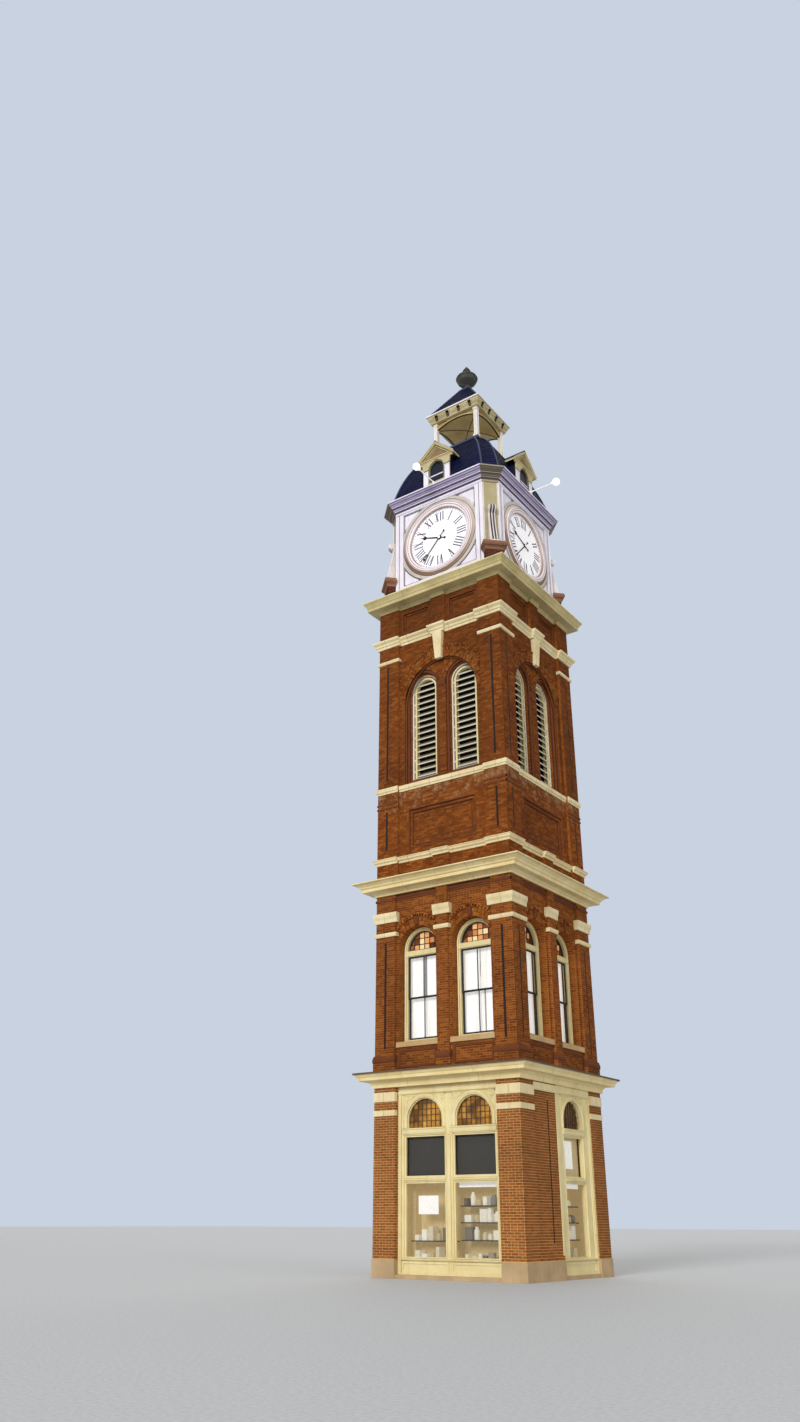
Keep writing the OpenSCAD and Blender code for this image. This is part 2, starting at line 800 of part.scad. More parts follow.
module dial_drums() {
    foot = cw - sunk_d;
    depth = sunk_d + drum_proud;
    foot_r = sunk_half - 15;
    color("#d9cbbd") for (i = [0:3]) at_dial(i, foot) rotate_extrude($fn = 96)
        polygon([[dial_r, 0], [foot_r, 0], [foot_r, 0.3 * depth], [foot_r - 20, 0.38 * depth],
            [drum_r + 0.2 * drum_wall, 0.6 * depth], [drum_r, 0.9 * depth],
            [drum_r - 0.1 * drum_wall, depth], [drum_r - 0.45 * drum_wall, depth],
            [drum_r - 0.55 * drum_wall, 0.9 * depth], [dial_r + 0.2 * drum_wall, 0.86 * depth],
            [dial_r, 0.7 * depth]]);
}

dial_face = cw - dial_recess;
dial_play = 5;
dial_lap = 60;
dial_t = 40;
hour_gap = 14;
hand_gap = 10;
hour_d = dial_face + hour_gap;
minute_d = hour_d + hand_t + hand_gap;
cap_d = minute_d + hand_t + hand_gap;
module clock_dials() {
    color("white") for (i = [0:3]) {
        at_dial(i, ci - dial_t) cylinder(r = dial_r + dial_lap, h = dial_t, $fn = 96);
        at_dial(i, ci) cylinder(r = dial_r - dial_play, h = dial_face - ci, $fn = 96);
        at_dial(i, ci) cylinder(r = spindle_r, h = cap_d - ci, $fn = 32);
        at_dial(i, cap_d) cylinder(r = 2 * spindle_r, h = hand_t, $fn = 32);
    }
}

// A hand that points up: its blade, its leaf near the tip, its hub and its counterweight
spindle_gap = 0.3;
module hand(length, blade_w, leaf_r, hub_r, tail_l, angle) {
    rotate([0, 0, -angle]) difference() {
        linear_extrude(hand_t) {
            polygon([[-blade_w / 2, 0], [blade_w / 2, 0], [blade_w / 3, length - 3 * leaf_r],
                [0, length], [-blade_w / 3, length - 3 * leaf_r]]);
            translate([0, length - 3.2 * leaf_r]) circle(r = leaf_r, $fn = 32);
            translate([-blade_w / 3, -tail_l]) square([2 * blade_w / 3, tail_l]);
            translate([0, -tail_l]) circle(r = 0.55 * hub_r, $fn = 32);
            circle(r = hub_r, $fn = 48);
        }
        translate([0, 0, -eps]) cylinder(r = spindle_r + spindle_gap, h = hand_t + 2 * eps, $fn = 32);
    }
}

minute_angle = 6 * minutes_past_nine;
hour_angle = 270 + minutes_past_nine / 2;
module minute_hand(i) {
    color("black") at_dial(i, minute_d) hand(minute_hand_l, 46, 48, 70, 300, minute_angle);
}

module hour_hand(i) {
    color("black") at_dial(i, hour_d) hand(hour_hand_l, 64, 78, 84, 240, hour_angle);
}

// Brick pedestals with stone caps in front of the cut corners, and scrolls standing on them
corner_gap = 0.3;
corner_d = (2 * cw - clock_chamfer) / sqrt(2) + corner_gap;
pedestal_w = 640;
pedestal_l = 310;
pedestal_h = 830;
cap_h = 170;
cap_over = 110;
module on_corners() {
    for (i = [0:3]) rotate([0, 0, 45 + 90 * i]) children();
}

module corner_pedestals() {
    color(brick) on_corners() translate([0, 0, z_big_top]) {
        span([-pedestal_w / 2, -corner_d - pedestal_l, 0], [pedestal_w / 2, -corner_d, pedestal_h]);
        span([-pedestal_w / 2 - cap_over, -corner_d - pedestal_l - cap_over, pedestal_h],
            [pedestal_w / 2 + cap_over, -corner_d, pedestal_h + cap_h]);
    }
}

scroll_w = 240;
scroll_h = 1720;
scroll_foot = 360;
scroll_r = 120;
scroll_neck = 70;
// The scroll's outline: its straight back, its flared foot, a waist and a round head
module scroll_outline() {
    polygon([for (t = [0:0.1:1]) [corner_d + scroll_neck + (scroll_foot - scroll_neck) * pow(1 - t, 1.6),
        t * (scroll_h - scroll_r)], [corner_d, scroll_h - scroll_r], [corner_d, 0]]);
    translate([corner_d + scroll_r, scroll_h - scroll_r]) circle(r = scroll_r, $fn = 40);
    translate([corner_d, scroll_h - 2 * scroll_r]) square([scroll_r, 2 * scroll_r]);
}

module corner_scrolls() {
    color(trim) on_corners() translate([-scroll_w / 2, 0, z_big_top + pedestal_h + cap_h])
        rotate([90, 0, 90]) linear_extrude(scroll_w) mirror([1, 0, 0]) scroll_outline();
}

// The clock stage's cornice, eight-sided, as a stack of flared courses that carries the dome's foot.
// Each step is [share of its height, share of its reach]
dome_ledge = 256;
cornice_reach = dome_w / 2 + dome_ledge - cw;
clock_cornice_steps = [[0, 0.08], [0.18, 0.11], [0.26, 0.37], [0.5, 0.42], [0.6, 0.67], [0.82, 0.93],
    [1, 1]];
module clock_cornice() {
    color("#4b4468") difference() {
        for (n = [0:len(clock_cornice_steps) - 2]) hull() for (s = [n, n + 1]) {
            half = cw + clock_cornice_steps[s][1] * cornice_reach;
            lift = s == n ? 0 : -1;
            translate([0, 0, z_clock_top + clock_cornice_steps[s][0] * clock_cornice_h + lift])
                linear_extrude(1) polygon(octagon(half, leg_at(half)));
        }
        translate([0, 0, z_clock_top - eps]) linear_extrude(clock_cornice_h + 2 * eps)
            polygon(octagon(ci, leg_at(ci)));
    }
}

// Dome: an eight-sided shell whose half width falls off with height
dome_levels = 9;
dome_sweep = 1.04;
function dome_half(t, foot) = foot * (1 - 0.3 * t / dome_sweep - 0.3 * pow(t / dome_sweep, 3));
dome_leg = 0.18;
module dome_solid(foot, h) {
    rings = [for (n = [0:dome_levels]) let (t = n / dome_levels, half = dome_half(t, foot))
        [for (p = octagon(half, dome_leg * half)) [p[0], p[1], t * h]]];
    pts = [for (r = rings, p = r) p];
    sides = [for (n = [0:dome_levels - 1], k = [0:7]) let (a = 8 * n + k, b = 8 * n + (k + 1) % 8)
        [a, a + 8, b + 8, b]];
    polyhedron(pts, concat([[for (k = [0:7]) k]], sides, [[for (k = [7:-1:0]) 8 * dome_levels + k]]));
}

module dome() {
    color(slate) translate([0, 0, z_clock_cornice_top]) difference() {
        dome_solid(dome_w / 2, dome_h);
        translate([0, 0, -eps]) dome_solid(dome_w / 2 - dome_t, dome_h - dome_t);
    }
}

// Dormers: a small gabled front with an arched opening on each side of the dome
dormer_set_in = 50;
dormer_face = dome_w / 2 - dormer_set_in;
dormer_depth = 1300;
dormer_open_w = 640;
dormer_open_top = 1240;
dormer_eaves_half = 810;
dormer_roof_t = 110;
dormer_over = 100;
module dormer_gable(half, wall_h, ridge_h) {
    polygon([[-half, 0], [half, 0], [half, wall_h], [0, ridge_h], [-half, wall_h]]);
}

module dormer() {
    slope = (dormer_ridge_h - dormer_wall_h) / dormer_eaves_half;
    post_half = dormer_w / 2;
    under = dormer_ridge_h - dormer_roof_t;
    mid = dormer_ridge_h - dormer_roof_t / 2;
    rotate([90, 0, 0]) {
        translate([0, 0, dormer_face - dormer_depth]) linear_extrude(dormer_depth)
            dormer_gable(post_half, mid - slope * post_half, mid);
        translate([0, 0, dormer_face - dormer_depth]) linear_extrude(dormer_depth + dormer_over)
            polygon([[-dormer_eaves_half, under - slope * dormer_eaves_half], [0, under],
                [dormer_eaves_half, under - slope * dormer_eaves_half],
                [dormer_eaves_half, dormer_wall_h], [0, dormer_ridge_h],
                [-dormer_eaves_half, dormer_wall_h]]);
    }
}

module dormers() {
    color(trim) translate([0, 0, z_clock_cornice_top]) difference() {
        each_side() difference() {
            dormer();
            arch_prism(0, dormer_open_w, 150, dormer_open_top - dormer_open_w / 2,
                dormer_face - 250, dormer_face + eps);
        }
        dome_solid(dome_w / 2, dome_h);
    }
}

// Lantern
module lantern_floor() {
    half = lantern_w / 2;
    color(slate) span([-half, -half, z_lantern], [half, half, z_post]);
}

lantern_post_x = 940;
module lantern_posts() {
    w = lantern_post_w / 2;
    color(trim) for (x = [-1, 1], y = [-1, 1])
        translate([x * lantern_post_x, y * lantern_post_x, z_post]) {
            span([-w, -w, 0], [w, w, lantern_post_h]);
            span([-w - 25, -w - 25, 0], [w + 25, w + 25, 140]);
            span([-w - 20, -w - 20, lantern_post_h - 110], [w + 20, w + 20, lantern_post_h]);
        }
}

arch_drop = 270;
arch_t = 60;
module lantern_arches() {
    reach = lantern_post_x - lantern_post_w / 2 - 20;
    rise = arch_drop - 70;
    r = (reach * reach + rise * rise) / (2 * rise);
    color(trim) each_side() difference() {
        span([-reach, -lantern_post_x - arch_t / 2, z_post_top - arch_drop],
            [reach, arch_t / 2 - lantern_post_x, z_post_top]);
        translate([0, 0, z_post_top - arch_drop + rise - r]) rotate([90, 0, 0])
            cylinder(r = r, h = far, $fn = 96);
    }
}

modillion_w = 210;
modillion_count = 5;
module lantern_cornice() {
    beam = lantern_post_x + 150;
    eaves = lantern_eaves_w / 2;
    h = lantern_cornice_h;
    color(trim) translate([0, 0, z_post_top]) {
        span([-beam, -beam, 0], [beam, beam, 0.42 * h]);
        span([-beam - 25, -beam - 25, 0.42 * h], [beam + 25, beam + 25, 0.76 * h]);
        span([-eaves + 35, -eaves + 35, 0.76 * h], [eaves - 35, eaves - 35, 0.86 * h]);
        span([-eaves, -eaves, 0.86 * h], [eaves, eaves, h]);
        each_side() for (n = [0:modillion_count - 1])
            translate([(n / (modillion_count - 1) - 0.5) * 2 * (beam - 40), 0, 0])
                span([-modillion_w / 2, 60 - eaves, 0.46 * h], [modillion_w / 2, -beam, 0.76 * h]);
    }
}

lantern_roof_half = 1170;
roof_tip_half = 200;
module lantern_roof() {
    color(slate) translate([0, 0, z_eaves])
        linear_extrude(lantern_roof_h, scale = roof_tip_half / lantern_roof_half)
            square(2 * lantern_roof_half, center = true);
}

// The urn's outline: [radius, share of its height]
urn_line = [[0, 0], [190, 0], [190, 0.05], [120, 0.08], [95, 0.13], [150, 0.19], [250, 0.26],
    [360, 0.34], [420, 0.44], [420, 0.5], [370, 0.56], [250, 0.64], [150, 0.7], [110, 0.74],
    [140, 0.78], [150, 0.82], [110, 0.88], [40, 0.96], [0, 1]];
module urn_finial() {
    color("#3a3a33") translate([0, 0, z_roof_top]) rotate_extrude($fn = 48)
        polygon([for (p = urn_line) [p[0], p[1] * finial_h]]);
}

// Floodlights: a foot on the clock cornice, a rising stem, an arm and a round lamp
lamp_stand_off = 190;
lamp_foot = dome_w / 2 + lamp_stand_off;
lamp_r = 130;
arm_r = 24;
arm_lift = 110;
module floodlight() {
    translate([0, -lamp_foot, 0]) {
        cylinder(r = 60, h = 20, $fn = 32);
        cylinder(r = arm_r, h = arm_lift + arm_r, $fn = 32);
    }
    translate([0, -lamp_foot, arm_lift]) rotate([90, 0, 0])
        cylinder(r = arm_r, h = lamp_reach - lamp_foot - 0.5 * lamp_r, $fn = 32);
    translate([0, -lamp_reach, arm_lift]) sphere(r = lamp_r, $fn = 40);
}

module floodlights() {
    color("silver") translate([0, 0, z_clock_cornice_top]) each_side() floodlight();
}

ground_floor();
upper_floor();
belfry_floor();
clock_floor();
plinth_stones();
corner_piers();
pier_stone_courses();
shopfronts_wide();
shopfronts_narrow();
shop_kerbs();
shop_glass();
first_cornice();
upper_wall_front();
upper_wall_right();
upper_wall_back();
upper_wall_left();
upper_window_frames();
upper_glass();
upper_window_sills();
pilaster_capitals();
main_cornice();
lower_stone_band();
shaft_wall_front();
shaft_wall_right();
shaft_wall_back();
shaft_wall_left();
sill_stone_band();
belfry_louvres();
belfry_imposts();
upper_stone_band();
big_cornice();
clock_walls();
clock_corner_panels();
dial_drums();
clock_dials();
minute_hand(0);  // minute_hand_front
minute_hand(1);  // minute_hand_right
minute_hand(2);  // minute_hand_back
minute_hand(3);  // minute_hand_left
hour_hand(0);  // hour_hand_front
hour_hand(1);  // hour_hand_right
hour_hand(2);  // hour_hand_back
hour_hand(3);  // hour_hand_left
corner_pedestals();
corner_scrolls();
clock_cornice();
dome();
dormers();
lantern_floor();
lantern_posts();
lantern_arches();
lantern_cornice();
lantern_roof();
urn_finial();
floodlights();
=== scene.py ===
"""The clock tower's looks: brick courses, windows, dials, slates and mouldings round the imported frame."""

import math
import random
from collections import namedtuple

import bmesh
import bpy
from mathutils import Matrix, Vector


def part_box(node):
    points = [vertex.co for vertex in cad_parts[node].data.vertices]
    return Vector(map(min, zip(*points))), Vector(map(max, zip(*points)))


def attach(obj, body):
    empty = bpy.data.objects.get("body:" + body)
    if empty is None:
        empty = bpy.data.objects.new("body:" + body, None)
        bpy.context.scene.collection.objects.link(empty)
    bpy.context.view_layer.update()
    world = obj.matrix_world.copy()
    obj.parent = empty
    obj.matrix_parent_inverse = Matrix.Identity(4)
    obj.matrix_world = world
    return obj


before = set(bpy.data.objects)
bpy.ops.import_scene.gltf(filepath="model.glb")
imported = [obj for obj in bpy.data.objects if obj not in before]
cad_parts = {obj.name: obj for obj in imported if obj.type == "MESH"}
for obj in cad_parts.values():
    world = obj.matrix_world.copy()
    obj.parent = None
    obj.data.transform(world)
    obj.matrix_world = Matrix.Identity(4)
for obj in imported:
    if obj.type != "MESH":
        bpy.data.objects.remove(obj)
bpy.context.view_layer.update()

# Levels and half widths from the frame, in metres

HALF = -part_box("shaft_wall_front")[0][1]
Z_FIRST, Z_FIRST_TOP = (corner[2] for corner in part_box("first_cornice"))
Z_MAIN, Z_MAIN_TOP = (corner[2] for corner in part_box("main_cornice"))
Z_BAND, Z_BAND_TOP = (corner[2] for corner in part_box("lower_stone_band"))
Z_SILL, Z_SILL_TOP = (corner[2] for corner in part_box("sill_stone_band"))
Z_ENTAB_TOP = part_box("upper_stone_band")[1][2]
Z_ENTAB = Z_ENTAB_TOP - 0.3
Z_BIG, Z_BIG_TOP = (corner[2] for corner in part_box("big_cornice"))
Z_CLOCK_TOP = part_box("clock_walls")[1][2]
Z_CORNICE_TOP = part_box("clock_cornice")[1][2]
Z_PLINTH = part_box("plinth_stones")[1][2]
Z_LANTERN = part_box("lantern_floor")[0][2]
Z_POST, Z_POST_TOP = (corner[2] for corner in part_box("lantern_posts"))
Z_EAVES, Z_ROOF_TOP = (corner[2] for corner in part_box("lantern_roof"))
Z_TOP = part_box("urn_finial")[1][2]
CLOCK_HALF = -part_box("clock_walls")[0][1]
CORNER_LEG = 0.44
MITRE = 2 - math.sqrt(2)
Z_DIAL = sum(corner[2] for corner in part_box("dial_drums")) / 2

SIDES = range(4)
SIDE_NAMES = ("front", "right", "back", "left")
BOTH = (-1, 1)


def steps(count, first=0.0, last=1.0):
    """The values from first to last in equal steps."""
    return [first + (last - first) * k / count for k in range(count + 1)]


def turns(count):
    """The angles of equal steps round a circle."""
    return [2 * math.pi * k / count for k in range(count)]


def moved(a, b, *points):
    """Points that are given as seen from (a, b)."""
    return [(a + da, b + db) for da, db in points]


def circle(a, b, r, count=8):
    return [(a + r * math.cos(t), b + r * math.sin(t)) for t in turns(count)]


def rectangle(a0, a1, b0, b1):
    return [(a0, b0), (a1, b0), (a1, b1), (a0, b1)]


def ends(sign, a, b):
    """A stretch on one side of the middle, with its lesser end first."""
    return sorted((sign * a, sign * b))


class Shape:
    """A piece in the making. Its points are across, out and up on the side that Shape.side names."""

    side = 0
    pieces = []

    def __init__(self, name, material, smooth=None, bevel=0.0, body="tower"):
        self.name = name
        self.material = material
        self.smooth = smooth
        self.bevel = bevel
        self.body = body
        self.points = []
        self.faces = []
        Shape.pieces.append(self)

    def add(self, points, faces):
        base = len(self.points)
        turn = math.pi / 2 * Shape.side
        cos, sin = math.cos(turn), math.sin(turn)
        self.points += [(u * cos + d * sin, u * sin - d * cos, z) for u, d, z in points]
        self.faces += [[base + k for k in face] for face in faces]

    def box(self, u0, u1, d0, d1, z0, z1, back=True):
        (u0, u1), (z0, z1) = sorted((u0, u1)), sorted((z0, z1))
        points = [(u, d, z) for d in (d0, d1) for z in (z0, z1) for u in (u0, u1)]
        faces = [(4, 5, 7, 6), (0, 4, 6, 2), (5, 1, 3, 7), (6, 7, 3, 2), (0, 1, 5, 4)]
        self.add(points, faces + [(1, 0, 2, 3)] if back else faces)

    def boxes(self, d0, d1, *fronts):
        """Boxes from d0 out to d1, each given by its two ends and its foot and top."""
        for front in fronts:
            self.box(*front[:2], d0, d1, *front[2:])

    def plate(self, outline, d0, d1, back=True):
        """A flat plate from d0 out to d1. The outline runs anticlockwise as seen from outside."""
        n = len(outline)
        faces = [list(range(n, 2 * n))] + [(k, (k + 1) % n, n + (k + 1) % n, n + k) for k in range(n)]
        if back:
            faces.append(list(reversed(range(n))))
        self.add([(u, d, z) for d in (d0, d1) for u, z in outline], faces)

    def arched_plate(self, u, foot, spring, radius, d0, d1, count=20):
        """A flat plate with a round head."""
        head = [(u + radius * math.cos(a), spring + radius * math.sin(a))
                for a in steps(count, 0.0, math.pi)]
        self.plate([(u - radius, foot), (u + radius, foot)] + head, d0, d1)

    def tube(self, rings, closed=False, caps=True):
        """A skin over rings of points, each ring with as many points as the next."""
        n, count = len(rings[0]), len(rings)
        faces = []
        for r in range(count if closed else count - 1):
            a, b = r * n, (r + 1) % count * n
            faces += [(a + k, a + (k + 1) % n, b + (k + 1) % n, b + k) for k in range(n)]
        if caps and not closed:
            faces += [list(reversed(range(n))), list(range((count - 1) * n, count * n))]
        self.add([point for ring in rings for point in ring], faces)

    def arc(self, u, z, profile, count=24):
        """A moulding over a half circle about (u, z). The profile is a closed line of (radius, out)."""
        self.tube([[(u + r * math.cos(a), d, z + r * math.sin(a)) for r, d in profile]
                   for a in steps(count, 0.0, math.pi)])

    def full_ring(self, profile, count=72):
        """A closed ring round the dial's middle. The profile is a closed line of (radius, out)."""
        self.tube([[(r * math.cos(a), d, Z_DIAL + r * math.sin(a)) for r, d in profile]
                   for a in turns(count)], closed=True)

    def level(self, profile, u0, u1):
        """A straight level moulding from u0 to u1. The profile is a closed line of (out, up)."""
        self.tube([[(u, d, z) for d, z in profile] for u in (u0, u1)])

    def upright(self, profile, z0, z1):
        """A straight upright moulding from z0 to z1. The profile is a closed line of (across, out)."""
        self.tube([[(u, d, z) for u, d in profile] for z in (z0, z1)])

    def mitred(self, profile):
        """A moulding all round the tower with mitred corners. The profile is a closed line of (out, up)."""
        for _ in sides():
            self.tube([[(sign * d, d, z) for d, z in profile] for sign in BOTH], caps=False)

    def eight_sided(self, profile, leg):
        """A moulding round an eight-sided stage, from (half width, up) and the cut corner's leg there."""
        rings = [[] for _ in range(8)]
        for half, z in profile:
            a = half - leg(half)
            corners = [(-a, half), (a, half), (half, a), (half, -a), (a, -half), (-a, -half), (-half, -a),
                       (-half, a)]
            for ring, (u, d) in zip(rings, corners):
                ring.append((u, d, z))
        self.tube(rings, closed=True)

    def border(self, u0, u1, z0, z1, width, d0, d1):
        """Four bars that frame a rectangle, inside its edges."""
        low, high = z0 + width, z1 - width
        self.boxes(d0, d1, (u0, u1, z0, low), (u0, u1, high, z1),
                   (u0, u0 + width, low, high), (u1 - width, u1, low, high))

    def roll_border(self, u0, u1, z0, z1, r, d):
        """A half-round moulding round a rectangle, mitred at its corners."""
        self.tube([[(u + du * r * math.cos(a), d + r * math.sin(a), z + dz * r * math.cos(a))
                    for a in steps(4, 0.0, math.pi)]
                   for u, z, du, dz in ((u0, z0, -1, -1), (u1, z0, 1, -1), (u1, z1, 1, 1), (u0, z1, -1, 1))],
                  closed=True)

    def arched(self, u, foot, spring, radius, profile, count=24):
        """A moulding up one side of an arched opening, round its head and down the other side.

        The profile is a closed line of (away from the opening's edge, out)."""
        rings = [[(u + radius + r, d, foot) for r, d in profile]]
        rings += [[(u + (radius + r) * math.cos(a), d, spring + (radius + r) * math.sin(a))
                   for r, d in profile] for a in steps(count, 0.0, math.pi)]
        self.tube(rings + [[(u - radius - r, d, foot) for r, d in profile]])

    def rib(self, line, d, r):
        """A round rib along a line of (across, up) on a flat face."""
        rings = []
        for k, (u, z) in enumerate(line):
            before, after = line[max(0, k - 1)], line[min(len(line) - 1, k + 1)]
            along = Vector((after[0] - before[0], after[1] - before[1])).normalized()
            rings.append([(u - along.y * r * math.cos(a), d + r * math.sin(a), z + along.x * r * math.cos(a))
                          for a in turns(6)])
        self.tube(rings)

    def follow(self, line, r, count=6):
        """A round rib along a line of points in space."""
        rings = []
        for k, point in enumerate(line):
            before, after = Vector(line[max(0, k - 1)]), Vector(line[min(len(line) - 1, k + 1)])
            along = (after - before).normalized()
            first = along.cross(Vector((1, 0, 0) if abs(along.x) < 0.9 else (0, 1, 0))).normalized()
            second = along.cross(first)
            rings.append([tuple(Vector(point) + r * (math.cos(a) * first + math.sin(a) * second))
                          for a in turns(count)])
        self.tube(rings)


def sides(*values):
    """Turns the shapes to each side in turn, and gives the side's number there, or each of the values."""
    for side in SIDES:
        Shape.side = side
        yield from values or (side,)
    Shape.side = 0


def make(shape):
    """Turns a shape into an object that rides on its body."""
    mesh = bpy.data.meshes.new(shape.name)
    mesh.from_pydata(shape.points, [], shape.faces)
    bm = bmesh.new()
    bm.from_mesh(mesh)
    bmesh.ops.recalc_face_normals(bm, faces=bm.faces)
    bm.to_mesh(mesh)
    bm.free()
    mesh.materials.append(MATERIALS[shape.material])
    if shape.smooth is not None:
        mesh.shade_smooth()
        mesh.set_sharp_from_angle(angle=math.radians(shape.smooth))
    obj = bpy.data.objects.new(shape.name, mesh)
    bpy.context.scene.collection.objects.link(obj)
    if shape.bevel:
        modifier = obj.modifiers.new("edges", "BEVEL")
        modifier.width = shape.bevel
        modifier.segments = 2
        modifier.limit_method = "ANGLE"
    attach(obj, shape.body)


# Materials

MATERIALS = {}


def linear(c):
    return c / 12.92 if c <= 0.04045 else ((c + 0.055) / 1.055) ** 2.4


def rgba(colour):
    """A linear colour from a hex colour as seen on a screen."""
    return tuple(linear(int(colour[k:k + 2], 16) / 255) for k in (1, 3, 5)) + (1.0,)


class Value:
    """What a material node gives. Sums and comparisons with it add further nodes."""

    def __init__(self, paint, socket):
        self.paint = paint
        self.socket = socket

    def __add__(self, other):
        return self.paint.math("ADD", self, other)

    def __sub__(self, other):
        return self.paint.math("SUBTRACT", self, other)

    def __rsub__(self, other):
        return self.paint.math("SUBTRACT", other, self)

    def __mul__(self, other):
        return self.paint.math("MULTIPLY", self, other)

    def __lt__(self, other):
        return self.paint.math("LESS_THAN", self, other)

    def __gt__(self, other):
        return self.paint.math("GREATER_THAN", self, other)

    def __abs__(self):
        return self.paint.math("ABSOLUTE", self)


class Paint:
    """A material and short ways to add nodes to it."""

    def __init__(self, name, slot, roughness=0.6, metallic=0.0, specular=None):
        material = bpy.data.materials.new(name)
        material.use_nodes = True
        MATERIALS[name] = material
        self.tree = material.node_tree
        self.shader = self.tree.nodes["Principled BSDF"]
        self.shade("Roughness", roughness)
        self.shade("Metallic", metallic)
        if specular is not None:
            self.shade("Specular IOR Level", specular)

    def feed(self, socket, value):
        """Links a value to a socket, or sets the socket to a number or a hex colour."""
        if isinstance(value, Value):
            self.tree.links.new(value.socket, socket)
        else:
            socket.default_value = rgba(value) if isinstance(value, str) else value

    def shade(self, name, value):
        self.feed(self.shader.inputs[name], value)

    def node(self, kind, *inputs, **named):
        """A node: its first inputs in order, other inputs by name, and settings in lower case."""
        node = self.tree.nodes.new("ShaderNode" + kind)
        for socket, value in zip(node.inputs, inputs):
            self.feed(socket, value)
        for name, value in named.items():
            if name[0].islower():
                setattr(node, name, value)
            else:
                self.feed(node.inputs[name.replace("_", " ")], value)
        return node

    def take(self, output, kind, *inputs, **named):
        """One output of a new node."""
        return Value(self, self.node(kind, *inputs, **named).outputs[output])

    def math(self, operation, a, b=0.0):
        return self.take(0, "Math", a, b, operation=operation)

    def mix(self, factor, a, b, blend="MIX"):
        node = self.node("Mix", factor, data_type="RGBA", blend_type=blend)
        self.feed(node.inputs[6], a)
        self.feed(node.inputs[7], b)
        return Value(self, node.outputs[2])

    def noise(self, scale, detail=4.0, vector=None, roughness=0.55):
        vector = vector or self.take("Object", "TexCoord")
        return self.take("Fac", "TexNoise", Scale=scale, Detail=detail, Roughness=roughness, Vector=vector)

    def streaks(self, *scale):
        """The place on the object, drawn out along one way."""
        return self.take(0, "Mapping", Vector=self.take("Object", "TexCoord"), Scale=scale)

    def parts(self, output="Object"):
        """The three parts of the place on the object, or of its normal."""
        node = self.node("SeparateXYZ", self.take(output, "TexCoord"))
        return [Value(self, socket) for socket in node.outputs]

    def island(self):
        """A number of its own for each brick, pane or slate."""
        return self.take("Random Per Island", "NewGeometry")

    def ramp(self, value, *stops, interpolation="LINEAR"):
        node = self.node("ValToRGB", value)
        node.color_ramp.interpolation = interpolation
        elements = node.color_ramp.elements
        while len(elements) < len(stops):
            elements.new(0.5)
        for element, (position, colour) in zip(elements, stops):
            element.position = position
            element.color = rgba(colour)
        return Value(self, node.outputs[0])

    def patches(self, value, low, high, dark="#000000"):
        """From a dark tone to white as a value grows from low to high."""
        return self.ramp(value, (low, dark), (high, "#ffffff"))

    def speckle(self, factor, colour, scale, dark, detail=4.0):
        """A colour darkened in specks."""
        return self.mix(factor, colour, self.patches(self.noise(scale, detail), 0.3, 0.7, dark), "MULTIPLY")

    def glow(self, colour, strength):
        self.shade("Emission Color", colour)
        self.shade("Emission Strength", strength)

    def bump(self, height, distance, strength):
        self.shade("Normal", self.take(0, "Bump", Height=height, Distance=distance, Strength=strength))


COURSE = 0.07
STRETCHER = 0.215
HEADER = STRETCHER / 2
JOINT = 0.012
BRICK_PROUD = 0.005
HEADERS_EVERY = 6
LEAST_COURSE = 0.015
LEAST_BRICK = 0.02
LEAST_SPAN = 0.03
BRICK_TINTS = ((0.0, "#74380d"), (0.25, "#7f400f"), (0.5, "#894712"), (0.75, "#935017"), (0.93, "#a05c20"),
               (1.0, "#68310b"))
ARCH_TINTS = ((0.0, "#70360c"), (0.3, "#8c4812"), (0.6, "#9c5c22"), (0.9, "#ac6e32"), (1.0, "#5c2c0a"))
PEDESTAL_TINTS = ((0.0, "#4e2116"), (0.4, "#5b281a"), (0.8, "#683020"), (1.0, "#431a12"))
# Mortar on the ground storey, then darker on the storeys above as painted shade
MORTAR, MORTAR_MID_SHADED, MORTAR_HIGH_SHADED = "#e2bd84", "#b07c48", "#7a4a22"
# Painted light that pales the ground storey's brick, and painted shade that darkens it from the belfry up
GROUND_PAINTED_LIGHT = 0.16
HIGH_PAINTED_SHADE = 0.17
BLOOM_FOOT = Z_SILL - 0.75
JOINT_MARK = 0.006
DRUM_EDGE = CLOCK_HALF + 0.032
NARROW_SHADE_X = 2.2


def stained(paint, colour):
    """Broad patches of darker brick."""
    return paint.mix(0.55, colour, paint.patches(paint.noise(0.55, 3.0), 0.3, 0.62, "#a8a4a0"), "MULTIPLY")


def bloom(paint, colour):
    """Pale salts on the brick just under the belfry's sill band."""
    height = paint.parts()[2]
    rise = (height - BLOOM_FOOT) * 1.3
    patch = paint.patches(paint.noise(3.4, 8.0, roughness=0.75) + rise * 0.12, 0.56, 0.72)
    return paint.mix((height > BLOOM_FOOT) * (height < Z_SILL) * (patch * 0.5), colour, "#b9a27c")


def storey_light_and_shade(paint, colour):
    """Painted light on the ground storey's brick, and painted shade on it from the belfry up."""
    height = paint.parts()[2]
    colour = paint.mix((height < Z_FIRST) * GROUND_PAINTED_LIGHT, colour, "#cc8746")
    return paint.mix((height > Z_SILL) * HIGH_PAINTED_SHADE + (height > Z_ENTAB_TOP) * HIGH_PAINTED_SHADE, colour, "#341a0c")


def brick_material(name, *tints):
    """Separate bricks, each with its own tint, with painted light and shade by storey."""
    paint = Paint(name, "brick", 0.9, specular=0.2)
    tint = stained(paint, paint.ramp(paint.island(), *tints))
    grain = paint.noise(90.0)
    tint = paint.mix(0.3, tint, paint.patches(grain, 0.3, 0.7, "#8a8a8a"), "MULTIPLY")
    paint.shade("Base Color", bloom(paint, storey_light_and_shade(paint, tint)))
    paint.bump(grain, 0.002, 0.6)


